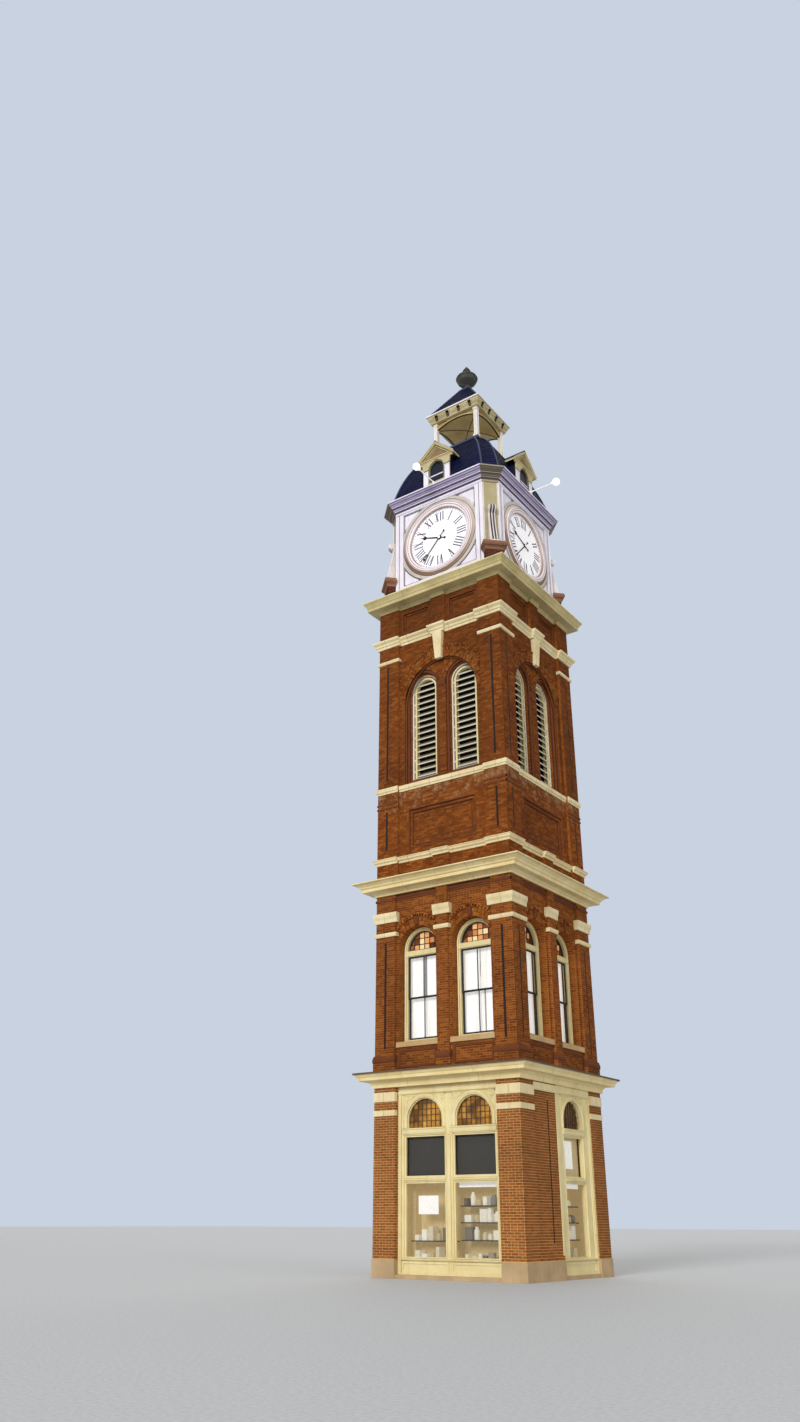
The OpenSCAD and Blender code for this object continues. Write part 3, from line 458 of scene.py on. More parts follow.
def brick_core_material():
    """Mortar on the wall's broad faces, where bricks are laid over it, and a brick pattern on its edges."""
    paint = Paint("brick_core", "brick", 0.9, specular=0.2)
    x, y, height = paint.parts()
    # The mortar darkens storey by storey upward: painted shade
    joint = paint.mix(height > Z_MAIN, paint.mix(height > Z_FIRST, MORTAR, MORTAR_MID_SHADED), MORTAR_HIGH_SHADED)
    normal = paint.parts("Normal")
    faces_x = abs(normal[0]) > abs(normal[1])
    edge = abs((abs(x) > abs(y)) - faces_x)
    grid = paint.take(0, "CombineXYZ", faces_x * y + (1.0 - faces_x) * x, height)
    bricks = paint.node("TexBrick", Vector=grid, Color1=BRICK_TINTS[1][1], Color2=BRICK_TINTS[4][1],
                        Mortar=joint, Scale=1.0, Mortar_Size=0.005, Mortar_Smooth=0.1, Brick_Width=STRETCHER,
                        Row_Height=COURSE)
    mortar = paint.speckle(0.4, joint, 60.0, "#777777")
    paint.shade("Base Color", stained(paint, paint.mix(edge, mortar, Value(paint, bricks.outputs[0]))))
    paint.bump(Value(paint, bricks.outputs[1]), -0.004, 0.5)


def worn_paint(name, slot, base, worn, dirt, roughness=0.5, metallic=0.0, joints=0.0, short_side_shade=None):
    """Weathered paint or dressed stone: soft patches, dirt in runs and, if asked, upright joints.

    Given a short sides' colour, the clock stage's four short sides of eight take it, as painted shade."""
    paint = Paint(name, slot, roughness, metallic)
    colour = paint.mix(paint.patches(paint.noise(1.3, 5.0, roughness=0.6), 0.35, 0.7), base, worn)
    runs = paint.patches(paint.noise(1.0, 5.0, paint.streaks(7.0, 7.0, 0.6)), 0.56, 0.78)
    colour = paint.mix(runs * 0.28, colour, dirt)
    if joints:
        lines = [(paint.math("PINGPONG", place + joints / 2, joints / 2) < JOINT_MARK) * (abs(normal) < 0.5)
                 for place, normal in zip(paint.parts()[:2], paint.parts("Normal"))]
        colour = paint.mix(paint.math("MAXIMUM", *lines) * 0.6, colour, "#4a3a26")
    # Painted shade on the clock stage's four short sides
    if short_side_shade:
        size = [abs(part) for part in paint.parts()[:2]]
        far, near = paint.math("MAXIMUM", *size), paint.math("MINIMUM", *size)
        leg = (far - CLOCK_HALF) * MITRE + CORNER_LEG
        colour = paint.mix((near - far + leg) > 0.0, colour, short_side_shade)
    paint.shade("Base Color", colour)
    paint.bump(paint.noise(35.0, 5.0), 0.002, 0.4)


def plain(name, slot, colour, roughness=0.5, metallic=0.0, glow=0.0):
    """An even finish with a slight grain."""
    paint = Paint(name, slot, roughness, metallic)
    paint.shade("Base Color", paint.speckle(0.5, colour, 18.0, "#d0d0d0"))
    if glow:
        paint.glow(colour, glow)


def glass_material():
    paint = Paint("window_glass", "glass", 0.04, specular=0.6)
    paint.shade("Base Color", "#20282c")
    paint.shade("Alpha", 0.1)


def leaded_material(name, *stops):
    """Small panes of coloured glass, each with one of a few tints, and a painted glow."""
    paint = Paint(name, "glass", 0.2)
    tint = paint.ramp(paint.island(), *stops, interpolation="CONSTANT")
    paint.shade("Base Color", tint)
    paint.glow(tint, 0.25)


def drum_material():
    """The drum's pale front, and its sloping side behind it in brown painted shade."""
    paint = Paint("drum_paint", "drum_paint", 0.4)
    x, y, height = paint.parts()
    side = paint.math("MAXIMUM", abs(x), abs(y)) < DRUM_EDGE
    worn = paint.patches(paint.noise(1.8, 5.0), 0.35, 0.7)
    # Painted shade on the sloping side, darker towards the bottom
    back = paint.mix(paint.patches(height - (Z_DIAL - 0.5), 0.0, 1.0), "#8c7058", "#d3c2b8")
    back = paint.mix(0.4, back, paint.ramp(worn, (0.0, "#ffffff"), (1.0, "#c8bcb0")), "MULTIPLY")
    paint.shade("Base Color", paint.mix(side, paint.mix(worn, "#f4edf4", "#e6dbe4"), back))
    paint.bump(paint.noise(35.0, 5.0), 0.001, 0.3)


def blind_material():
    """White blinds with a painted glow as if lit from inside, and faint upright folds."""
    paint = Paint("window_blinds", "dial_white", 0.8)
    shade = paint.patches(paint.noise(1.0, 2.0, paint.streaks(9.0, 9.0, 0.4)), 0.3, 0.6, "#efece2")
    paint.shade("Base Color", shade)
    paint.glow(shade, 0.55)


def amber_material():
    """Old panes in brown and amber with a painted glow, lit in painted patches on the wide bays and shaded
    nearly dark on the narrow.
    """
    paint = Paint("amber_panes", "glass", 0.15)
    tint = paint.ramp(paint.island(), (0.0, "#6b4720"), (0.35, "#8a5c26"), (0.7, "#a87230"),
                      (1.0, "#cc9440"))
    tint = paint.mix(0.55, tint, paint.ramp(paint.noise(1.5, 2.0), (0.42, "#553a1e"), (0.6, "#dba03c")))
    # Painted shade on the narrow bays' panes
    tint = paint.mix((abs(paint.parts()[0]) > NARROW_SHADE_X) * 0.75, tint, "#2c1c0e")
    tint = paint.speckle(0.4, tint, 6.0, "#777777")
    paint.shade("Base Color", tint)
    paint.glow(tint, 0.25)


def goods_material():
    """Plain packets in whites, creams and a few darker tones, with a painted glow."""
    paint = Paint("plain_goods", "dial_white", 0.6)
    tint = paint.ramp(paint.island(), (0.0, "#f3efe4"), (0.5, "#e8dfc4"), (0.7, "#c9b58c"),
                      (0.85, "#8f8a80"), (1.0, "#5b4632"))
    tint = paint.speckle(0.2, tint, 14.0, "#888888")
    paint.shade("Base Color", tint)
    paint.glow(tint, 0.3)


def slate_material():
    paint = Paint("slates", "slate", 0.5, specular=0.15)
    tint = paint.ramp(paint.island(), (0.0, "#0a0f2e"), (0.5, "#10163c"), (1.0, "#181f4c"))
    paint.shade("Base Color", paint.speckle(0.4, tint, 9.0, "#888888", 5.0))
    paint.bump(paint.noise(50.0), 0.002, 0.5)


brick_material("brick_faces", *BRICK_TINTS)
brick_material("arch_bricks", *ARCH_TINTS)
brick_material("pedestal_brick", *PEDESTAL_TINTS)
brick_core_material()
drum_material()
slate_material()
glass_material()
blind_material()
amber_material()
goods_material()
leaded_material("leaded_panes", (0.0, "#4a2415"), (0.25, "#7d3f20"), (0.5, "#5e3a1c"), (0.7, "#a85c30"),
                (0.88, "#3c2014"))
leaded_material("leaded_pale_panes", (0.0, "#d99a62"), (0.35, "#e8b47c"), (0.6, "#f2d29c"), (0.8, "#cc7f48"))

# A slot, then each material's name, colour, worn colour, dirt, roughness, metal, joint spacing and
# the colour of painted shade on the clock stage's four short sides
WORN_PAINTS = {
    "stone": (("sandstone", "#e6d7ac", "#d3bf8e", "#8a7a5c", 0.8, 0.0, 0.86),
              ("plinth_stone", "#c0a47e", "#a58b68", "#8a7a5c", 0.9),
              ("brownstone", "#8c6048", "#745038", "#4a3022", 0.8),
              ("sill_stone", "#c4a474", "#ab8a5c", "#6e5230", 0.8)),
    "cream_paint": (("cream_paint", "#e9dba8", "#d9c78e", "#8a7a5c", 0.45),
                    # The first and main cornices' cream is made paler as painted light; the big cornice's
                    # olive is painted shade
                    ("cornice_paint", "#ecdaa4", "#dcc488", "#8a7a5c", 0.5, 0.0, 2.46),
                    ("big_cornice_paint", "#c9b984", "#ab9b69", "#6b5c38", 0.5, 0.0, 2.46),
                    ("louvre_lining", "#4a3a2a", "#5a4936", "#2c2218", 0.6),
                    ("louvre_slats", "#8c856c", "#777058", "#4e4936", 0.7),
                    ("pediment_ochre", "#8f7148", "#7a5c38", "#4a3620", 0.6),
                    ("scroll_paint", "#e9e2e2", "#d3cac8", "#9a8c80", 0.45),
                    ("lantern_arch_paint", "#a5925f", "#8c7a4c", "#544422", 0.6),
                    ("eaves_shadow", "#4c3b20", "#3e2f18", "#241a0c", 0.7),
                    ("dormer_paint", "#cbbe93", "#b5a679", "#75653f")),
    "white_paint": (("white_paint", "#f0ecf4", "#e2dcea", "#b9aebc", 0.4),
                    # Pale for the slats' lips as a painted highlight, and for the louvre clips
                    ("slat_edges", "#d9d2bd", "#c8c0a8", "#948c74"),
                    # The ring behind each drum is white paint greyed as painted shade
                    ("ring_grey", "#cdc6c0", "#b9b0a6", "#8a8070"),
                    ("pale_paint", "#ebe6d8", "#dcd5c2", "#a89f88", 0.45)),
    "cornice_metal": (("cornice_metal", "#a399be", "#b7add0", "#5c5472", 0.4, 0.0, 0.0, "#625b4d"),
                      ("cornice_highlight", "#ece7f8", "#dbd3f0", "#9c93ba", 0.4, 0.0, 0.0, "#958b74"),
                      ("shadow_brown", "#3a2e32", "#46393a", "#221a1a", 0.6),
                      # The corner panels' olive is pale paint in painted shade
                      ("corner_olive", "#afa27c", "#9c8f69", "#6c6044"),
                      ("opening_surround", "#6f6d58", "#5d5b48", "#3a382c")),
    # Moulded brick darker than the wall's: partly its own tone, partly painted shade of the reveals
    "brick": (("moulded_brick", "#6c350e", "#5a2b0b", "#341808", 0.9),),
    "drum_paint": (("dial_rim", "#b8a19c", "#a08880", "#7a6258", 0.4),),
    "finial_metal": (("finial_metal", "#3c3c36", "#4a4b44", "#20201c", 0.5, 0.3),),
    "lamp_metal": (("louvre_tray", "#b4b6ba", "#999ba0", "#6d6e72", 0.4, 0.3),),
    "lead": (("dark_flashing", "#54422f", "#6a5540", "#2e2419", 0.5, 0.2),),
    "boards": (("ceiling_boards", "#b99c5e", "#94793d", "#5d4a22", 0.6),
               # The lantern ceiling's pale tan is painted light from below
               ("lantern_ceiling", "#dcc382", "#b99a58", "#6b5222", 0.6)),
}
# A slot, then each material's name, colour, roughness, metal and glow
PLAIN_PAINTS = {
    # The glow of the dial, the posters, the lit room and the curtains is painted light; the lamps' is their
    # own
    "dial_white": (("dial_white", "#f8f7fa", 0.3, 0.0, 0.28), ("blank_poster", "#f6f4ee", 0.7, 0.0, 0.5)),
    "hand_black": (("numeral_grey", "#6d6982"), ("black_paint", "#131316", 0.35),
                   # The near-black is painted shade, for the slots and behind the louvres
                   ("sash_black", "#1a1c20", 0.4), ("bare_panel", "#4b4742"), ("soot_black", "#1d1310", 0.9),
                   ("opening_dark", "#0e1226", 0.3), ("lunette_bars", "#4f3620"), ("shelf_grey", "#5e574c")),
    "lead": (("lead_hips", "#3f4868", 0.4, 0.2), ("roof_metal", "#0f1434", 0.6)),
    "cream_paint": (("lit_room", "#cdb88a", 0.9, 0.0, 0.3),),
    "white_paint": (("curtain_grey", "#b4b2b6", 0.9, 0.0, 0.2),),
    "lamp_metal": (("lamp_metal", "#f6f6fa", 0.4, 0.0, 0.2), ("lamp_glow", "#ffffff", 0.4, 0.0, 1.6)),
    "concrete": (("floor_concrete", "#8e8a80", 0.9), ("floor_pale", "#d8dce2", 0.8)),
}
for finish, table in ((worn_paint, WORN_PAINTS), (plain, PLAIN_PAINTS)):
    for slot_name, rows in table.items():
        for name, *values in rows:
            finish(name, slot_name, *values)

CAD_NODES = {
    "brick_core": "corner_piers",
    "brownstone": "corner_pedestals",
    "plinth_stone": "plinth_stones shop_kerbs",
    "sandstone": "pier_stone_courses pilaster_capitals lower_stone_band sill_stone_band upper_stone_band "
                 "belfry_imposts",
    "sill_stone": "upper_window_sills",
    "cornice_paint": "first_cornice main_cornice",
    "cream_paint": "shopfronts_wide shopfronts_narrow upper_window_frames belfry_louvres",
    "big_cornice_paint": "big_cornice",
    "dormer_paint": "dormers lantern_cornice",
    "pale_paint": "lantern_posts",
    "lantern_arch_paint": "lantern_arches",
    "scroll_paint": "corner_scrolls",
    "white_paint": "clock_walls",
    "corner_olive": "clock_corner_panels",
    "drum_paint": "dial_drums",
    "dial_white": "clock_dials",
    "cornice_metal": "clock_cornice",
    "roof_metal": "dome lantern_roof lantern_floor",
    "finial_metal": "urn_finial",
    "window_glass": "shop_glass upper_glass",
    "lamp_metal": "floodlights",
    "floor_concrete": "ground_floor",
    "ceiling_boards": "upper_floor belfry_floor clock_floor",
}


def dress_frame():
    """Gives every CAD node its material."""
    dressed = [(node, material) for material, nodes in CAD_NODES.items() for node in nodes.split()]
    for side in SIDE_NAMES:
        dressed += [("upper_wall_" + side, "brick_core"), ("shaft_wall_" + side, "brick_core")]
        dressed += [("minute_hand_" + side, "black_paint"), ("hour_hand_" + side, "black_paint")]
    for node, material in dressed:
        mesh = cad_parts[node].data
        mesh.materials.clear()
        mesh.materials.append(MATERIALS[material])


# Bricks

RECESS = HALF - 0.1
UPPER_EDGE = HALF - 0.72
SHAFT_EDGE = HALF - 0.82
MID_PILASTER = 0.2
MID_STRIP = 0.3
SLOT_X = HALF - 0.37
SLOT_HALF = 0.04
SLOT_DEPTH = 0.11
PIER = HALF - 0.76
FOOT_PROUD = 0.04
Z_FOOT = Z_FIRST_TOP + 0.47
WIN_X = 0.98
WIN_HALF = 0.69
Z_WIN = Z_FIRST_TOP + 0.87
Z_WIN_SPRING = Z_WIN + 2.82
BELFRY_X = 0.81
BELFRY_HALF = 0.54
REVEAL = BELFRY_HALF + 0.12
ORDER_D = 0.1
BLIND_R = 1.48
BLIND_FACE = RECESS - 0.12
Z_BLIND = Z_SILL_TOP + 2.94
Z_OPENING = Z_SILL_TOP + 0.2
Z_OPENING_SPRING = Z_OPENING + 3.34
UPPER_SLOT = (Z_FIRST_TOP + 0.7, Z_MAIN - 1.52)
BASE_SLOT = (Z_BAND_TOP + 0.28, Z_SILL - 0.64)
BELFRY_SLOT = (Z_SILL_TOP + 0.26, Z_ENTAB - 0.76)
# The sunk panel under the belfry: its half width, foot and top
BASE_PANEL = (1.29, Z_BAND_TOP + 0.24, Z_SILL - 0.7)
SUNK = (0.05, 0.09)
FRIEZE_MARGIN = 0.13
# The width of an arch's bricks as laid on end or flat, and a zero for dentils
ON_END = 0.075
STRETCHED = 0.15
DENTILS = 0
DENTIL_PITCH = 0.125
DENTIL_SHARE = 0.62
LOW_COURSE = (Z_FIRST - 0.79, Z_FIRST - 0.64)
HIGH_COURSE = (Z_FIRST - 0.395, Z_FIRST - 0.13)
BLIND_END = -0.39
SIDE_PIER = HALF - 0.74
PANEL_BACK = 0.05
# The blind wall's slot: its middle, foot and top
PIER_SLOT = (-0.85, 0.9, LOW_COURSE[1] + 0.2)

# An opening or a panel: its middle, half width, foot and springing, and whether its head is round
Hole = namedtuple("Hole", "u half foot spring round", defaults=(True,))


def width_at(hole, z):
    """Half the hole's width at a height, or zero outside it."""
    rise = max(0.0, z - hole.spring)
    if z < hole.foot or rise >= hole.half or (rise and not hole.round):
        return 0.0
    return math.sqrt(hole.half ** 2 - rise ** 2)


def clear_spans(u0, u1, z, holes, keep):
    """The stretches of a course from u0 to u1 that lie inside keep and outside the holes."""
    spans = [(u0, u1)]
    if keep:
        half = width_at(keep, z)
        spans = [(max(u0, keep.u - half), min(u1, keep.u + half))]
    for hole in holes:
        half = width_at(hole, z)
        if half:
            spans = [span for a, b in spans
                     for span in ((a, min(b, hole.u - half)), (max(a, hole.u + half), b))]
    return [(a, b) for a, b in spans if b - a > LEAST_SPAN]


def lay_bricks(shape, d, u0, u1, z0, z1, holes=(), keep=None):
    """Courses of bricks on a wall face d from the axis, with every sixth course of headers."""
    u0, u1 = sorted((u0, u1))
    for row in range(math.floor(z0 / COURSE), math.ceil(z1 / COURSE)):
        low = max(row * COURSE + JOINT / 2, z0)
        high = min((row + 1) * COURSE - JOINT / 2, z1)
        if high - low < LEAST_COURSE:
            continue
        length = STRETCHER if row % HEADERS_EVERY else HEADER
        shift = length / 2 if row % 2 else 0.0
        for a, b in clear_spans(u0, u1, (low + high) / 2, holes, keep):
            for n in range(math.floor((a - shift) / length), math.ceil((b - shift) / length)):
                left = max(a, shift + n * length + JOINT / 2)
                right = min(b, shift + (n + 1) * length - JOINT / 2)
                if right - left > LEAST_BRICK:
                    shape.box(left, right, d, d + BRICK_PROUD, low, high, back=False)


def lay_rings(shape, u, z, radius, d, limit, *rings):
    """Rings of bricks round an arch, out to a limit across.

    Each has its start, depth, stand-out and the width of its bricks. Dentils are spaced out."""
    for start, deep, proud, wide in rings:
        r0, r1 = radius + start, radius + start + deep
        middle = (r0 + r1) / 2
        count = max(8, round(math.pi * middle / wide)) if wide else round(math.pi * r1 / DENTIL_PITCH)
        gap = JOINT * 0.75 / middle if wide else math.pi * (1 - DENTIL_SHARE) / 2 / count
        for n in range(count):
            a, b = math.pi * n / count + gap, math.pi * (n + 1) / count - gap
            outline = [(r * math.cos(t), r * math.sin(t)) for r, t in ((r0, a), (r1, a), (r1, b), (r0, b))]
            if max(abs(across) for across, _ in outline) <= limit:
                shape.plate(moved(u, z, *outline), d, d + proud, back=False)


def pilaster_bricks(shape, edge, z0, z1, slot=(0.0, 0.0)):
    """The two corner pilasters of a side with their slots."""
    for sign in BOTH:
        groove = Hole(sign * SLOT_X, SLOT_HALF, *slot, False)
        lay_bricks(shape, HALF, sign * edge, sign * (HALF + BRICK_PROUD), z0, z1, [groove])
        lay_bricks(shape, HALF - SLOT_DEPTH, sign * SLOT_X - SLOT_HALF, sign * SLOT_X + SLOT_HALF, *slot)


def upper_bricks(side):
    """Bricks of the upper storey on one side, with the rings and hoods round its windows."""
    shape = Shape("upper_bricks_%d" % side, "brick_faces")
    arches = Shape("window_arch_bricks_%d" % side, "arch_bricks")
    foot = HALF + FOOT_PROUD
    pilaster_bricks(shape, UPPER_EDGE, Z_FOOT, Z_MAIN, UPPER_SLOT)
    lay_bricks(shape, HALF, -MID_PILASTER, MID_PILASTER, Z_FOOT, Z_MAIN)
    lay_bricks(shape, foot, -MID_PILASTER - FOOT_PROUD, MID_PILASTER + FOOT_PROUD, Z_FIRST_TOP, Z_FOOT)
    for sign in BOTH:
        hole = Hole(sign * WIN_X, WIN_HALF, Z_WIN, Z_WIN_SPRING)
        edge = UPPER_EDGE - FOOT_PROUD
        lay_bricks(shape, foot, sign * edge, sign * (foot + BRICK_PROUD), Z_FIRST_TOP, Z_FOOT)
        lay_bricks(shape, RECESS, sign * MID_PILASTER, sign * UPPER_EDGE, Z_FIRST_TOP, Z_MAIN, [hole])
        lay_rings(arches, sign * WIN_X, Z_WIN_SPRING, WIN_HALF, RECESS, WIN_X - MID_PILASTER,
                  (0.0, 0.112, 0.014, ON_END), (0.124, 0.112, 0.02, ON_END), (0.246, 0.03, 0.028, STRETCHED),
                  (0.276, 0.064, 0.06, DENTILS), (0.345, 0.04, 0.065, STRETCHED))


def sunk_panel_bricks(shape, u0, u1, z0, z1, margin):
    """A brick panel sunk in two steps into the wall between the pilasters."""
    middle, half = (u0 + u1) / 2, (u1 - u0) / 2
    inner = Hole(middle, half - margin, z0 + margin, z1 - margin, False)
    lay_bricks(shape, RECESS - SUNK[0], u0, u1, z0, z1, [inner])
    lay_bricks(shape, RECESS - SUNK[1], u0 + margin, u1 - margin, z0 + margin, z1 - margin)
    return Hole(middle, half, z0, z1, False)


def strip_bricks(shape, z0, z1, panels=False):
    """A level strip of the shaft between two bands, with a sunk panel each side of its middle if asked."""
    pilaster_bricks(shape, SHAFT_EDGE, z0, z1)
    lay_bricks(shape, HALF, -MID_STRIP, MID_STRIP, z0, z1)
    for sign in BOTH:
        u0, u1 = ends(sign, MID_STRIP + FRIEZE_MARGIN, SHAFT_EDGE - FRIEZE_MARGIN)
        holes = [sunk_panel_bricks(shape, u0, u1, z0 + 0.2, z1 - 0.2, 0.09)] if panels else []
        lay_bricks(shape, RECESS, sign * MID_STRIP, sign * SHAFT_EDGE, z0, z1, holes)


def shaft_bricks(side):
    """Bricks of the plain strip, the panelled stage, the belfry and the frieze on one side."""
    arches = Shape("belfry_arch_bricks_%d" % side, "arch_bricks")
    shape = Shape("shaft_bricks_%d" % side, "brick_faces")
    strip_bricks(shape, Z_MAIN_TOP, Z_BAND)
    pilaster_bricks(shape, SHAFT_EDGE, Z_BAND_TOP, Z_SILL, BASE_SLOT)
    half, z0, z1 = BASE_PANEL
    panel = sunk_panel_bricks(shape, -half, half, z0, z1, 0.11)
    lay_bricks(shape, RECESS, -SHAFT_EDGE, SHAFT_EDGE, Z_BAND_TOP, Z_SILL, [panel])
    pilaster_bricks(shape, SHAFT_EDGE, Z_SILL_TOP, Z_ENTAB, BELFRY_SLOT)
    blind = Hole(0.0, BLIND_R, Z_SILL_TOP, Z_BLIND)
    lay_bricks(shape, RECESS, -SHAFT_EDGE, SHAFT_EDGE, Z_SILL_TOP, Z_ENTAB, [blind])
    foot = Z_OPENING - 0.06
    openings = [Hole(sign * BELFRY_X, REVEAL, foot, Z_OPENING_SPRING) for sign in BOTH]
    lay_bricks(shape, BLIND_FACE, -BLIND_R, BLIND_R, Z_SILL_TOP, Z_BLIND + BLIND_R, openings, blind)
    strip_bricks(shape, Z_ENTAB_TOP, Z_BIG, panels=True)
    lay_rings(arches, 0.0, Z_BLIND, BLIND_R, RECESS, SHAFT_EDGE,
              (0.0, 0.107, 0.01, ON_END), (0.112, 0.107, 0.018, ON_END), (0.224, 0.107, 0.026, ON_END),
              (0.336, 0.05, 0.03, STRETCHED), (0.386, 0.05, 0.055, DENTILS))
    for u in (-BELFRY_X, BELFRY_X):
        lay_rings(arches, u, Z_OPENING_SPRING, BELFRY_HALF, BLIND_FACE - ORDER_D, REVEAL,
                  (0.0, REVEAL - BELFRY_HALF, BRICK_PROUD, ON_END))
        for sign in BOTH:
            lay_bricks(arches, BLIND_FACE - ORDER_D, u + sign * BELFRY_HALF, u + sign * REVEAL, foot,
                       Z_OPENING_SPRING)
        lay_rings(arches, u, Z_OPENING_SPRING, REVEAL, BLIND_FACE, BELFRY_X, (0.0, 0.11, 0.012, ON_END),
                  (0.115, 0.04, 0.025, STRETCHED), (0.155, 0.035, 0.045, DENTILS))


def pier_bricks(side):
    """Bricks of the ground storey's piers on one side, between its stone courses."""
    shape = Shape("pier_bricks_%d" % side, "brick_faces")
    right = SIDE_PIER if side % 2 else PIER
    for z0, z1 in ((Z_PLINTH, LOW_COURSE[0]), (LOW_COURSE[1], HIGH_COURSE[0]), (HIGH_COURSE[1], Z_FIRST)):
        lay_bricks(shape, HALF, -HALF - BRICK_PROUD, -PIER, z0, z1)
        lay_bricks(shape, HALF, right, HALF + BRICK_PROUD, z0, z1)
    if side % 2:
        foot = Z_PLINTH + 0.13
        groove = Hole(PIER_SLOT[0], SLOT_HALF, *PIER_SLOT[1:], False)
        lay_bricks(shape, HALF, -PIER, BLIND_END, Z_PLINTH, foot)
        lay_bricks(shape, HALF - PANEL_BACK, -PIER, BLIND_END, foot, HIGH_COURSE[1], [groove])
        lay_bricks(shape, HALF, -PIER, BLIND_END, HIGH_COURSE[1], Z_FIRST)


# Upper windows

FRAME_FACE = HALF - 0.4
FRAME_BACK = FRAME_FACE - 0.12
LIGHT_HALF = 0.57
Z_LIGHT = Z_WIN + 0.09
Z_FAN = Z_WIN_SPRING - 0.02
Z_TRANSOM = Z_FAN - 0.18
Z_MEETING = 7.67
SASH_W = 0.06
FAN_COLUMNS = 6
FAN_ROWS = 4
FAN_PITCH = 2 * LIGHT_HALF / FAN_COLUMNS
PALE_PANES = ((4, 1), (1, 0))


def window_sashes():
    """Black sashes, two panes over two, in every upper window."""
    shape = Shape("window_sashes", "sash_black", bevel=0.003)
    fan = (FRAME_BACK + 0.01, FRAME_BACK + 0.05)
    for u in sides(-WIN_X, WIN_X):
        left, right = u - LIGHT_HALF, u + LIGHT_HALF
        for z0, z1, d in ((Z_LIGHT, Z_MEETING + 0.03, fan[0] + 0.002),
                          (Z_MEETING - 0.03, Z_TRANSOM, fan[1])):
            inner = (left + SASH_W, right - SASH_W)
            shape.boxes(d, d + 0.036, (left, inner[0], z0, z1), (inner[1], right, z0, z1),
                        (*inner, z0, z0 + 0.06), (*inner, z1 - 0.05, z1))
            shape.box(u - 0.014, u + 0.014, d + 0.004, d + 0.032, z0 + 0.06, z1 - 0.05)
        shape.arc(u, Z_WIN_SPRING, rectangle(LIGHT_HALF - 0.03, LIGHT_HALF, *fan))
        shape.box(left, right, *fan, Z_FAN, Z_FAN + 0.035)


def round_head(a, z, radius, spring):
    """A pane's corner, drawn in to the round head where it would lie outside it."""
    rise = z - spring
    if rise <= 0.0 or math.hypot(a, rise) <= radius:
        return a, z
    if abs(a) >= radius:
        return math.copysign(radius, a), spring
    return a, spring + math.sqrt(radius ** 2 - a ** 2)


def chord(radius, off):
    """Half the width of a round head at a distance from its middle."""
    return math.sqrt(max(0.0, radius ** 2 - max(0.0, off) ** 2))


def fanlights():
    """Small square panes of coloured glass and their bars in the round heads of the upper windows."""
    bars = Shape("fanlight_bars", "sash_black")
    panes = Shape("fanlight_panes", "leaded_panes")
    pale = Shape("fanlight_pale_panes", "leaded_pale_panes")
    inner = LIGHT_HALF - 0.02
    d = FRAME_BACK
    columns = steps(FAN_COLUMNS, -LIGHT_HALF, LIGHT_HALF)
    rows = [Z_FAN + m * FAN_PITCH for m in range(FAN_ROWS + 1)]
    for u in sides(-WIN_X, WIN_X):
        for across in columns[1:-1]:
            top = Z_WIN_SPRING + chord(inner, abs(across))
            bars.box(u + across - 0.009, u + across + 0.009, d + 0.012, d + 0.034, Z_FAN, top)
        for z in rows[1:-2]:
            reach = chord(inner, z - Z_WIN_SPRING)
            bars.box(u - reach, u + reach, d + 0.013, d + 0.033, z - 0.009, z + 0.009)
        for n, (left, right) in enumerate(zip(columns, columns[1:])):
            for m, (low, high) in enumerate(zip(rows, rows[1:])):
                if math.hypot(min(abs(left), abs(right)), max(0.0, low - Z_WIN_SPRING)) < inner:
                    corners = [round_head(a, b, inner, Z_WIN_SPRING)
                               for a, b in rectangle(left, right, low, high)]
                    target = pale if n in (2, 3) or (n, m) in PALE_PANES else panes
                    target.plate(moved(u, 0.0, *corners), d + 0.003, d + 0.01, back=False)


def window_casings():
    """The rounded moulding round each casing, and the transom's cap."""
    shape = Shape("window_casings", "cream_paint", smooth=40)
    roll = ((0.0, 0.0), (0.05, 0.0), (0.055, 0.02), (0.045, 0.04), (0.025, 0.05), (0.005, 0.04))
    for u in sides(-WIN_X, WIN_X):
        for start, grow, foot in ((WIN_HALF - 0.062, 1, Z_WIN), (LIGHT_HALF + 0.002, 0.7, Z_LIGHT)):
            profile = [(start + grow * r, FRAME_FACE + grow * d) for r, d in roll]
            shape.arc(u, Z_WIN_SPRING, profile, 32)
            for sign in BOTH:
                shape.upright([(u + sign * r, d) for r, d in profile], foot, Z_WIN_SPRING)
        reach = LIGHT_HALF + 0.06
        shape.box(u - reach, u + reach, FRAME_FACE, FRAME_FACE + 0.03, Z_TRANSOM + 0.02, Z_FAN - 0.02)


def window_backs():
    """Pale blinds close behind the upper windows' glass, with a strip of curtain behind each."""
    blinds = Shape("window_blinds", "window_blinds")
    curtains = Shape("window_curtains", "curtain_grey")
    d = FRAME_BACK - 0.09
    for u in sides(-WIN_X, WIN_X):
        for sign in BOTH:
            near, far = sign * 0.012, sign * (LIGHT_HALF + 0.05)
            blinds.box(u + near, u + far, d, d + 0.004, Z_LIGHT - 0.02, Z_TRANSOM + 0.04)
    for _ in sides():
        curtains.boxes(d + 0.007, d + 0.013, (-WIN_X - 0.075, -WIN_X + 0.02, Z_MEETING, Z_TRANSOM + 0.02),
                       (WIN_X + 0.12, WIN_X + 0.17, Z_LIGHT, Z_MEETING))


# Brick mouldings

Z_STRING = Z_OPENING_SPRING + 0.03


def foot_cap(shape, edge_a, edge_b):
    """The sloping brick cap on a pilaster's foot."""
    u0, u1 = sorted((edge_a, edge_b))
    d = HALF + FOOT_PROUD
    front = moved(d, Z_FOOT, (0.015, -0.17), (0.03, -0.14), (0.03, -0.06), (-0.03, 0.03))
    shape.level([(RECESS, Z_FOOT - 0.17)] + front + [(RECESS, Z_FOOT + 0.03)], u0 - 0.01, u1 + 0.01)


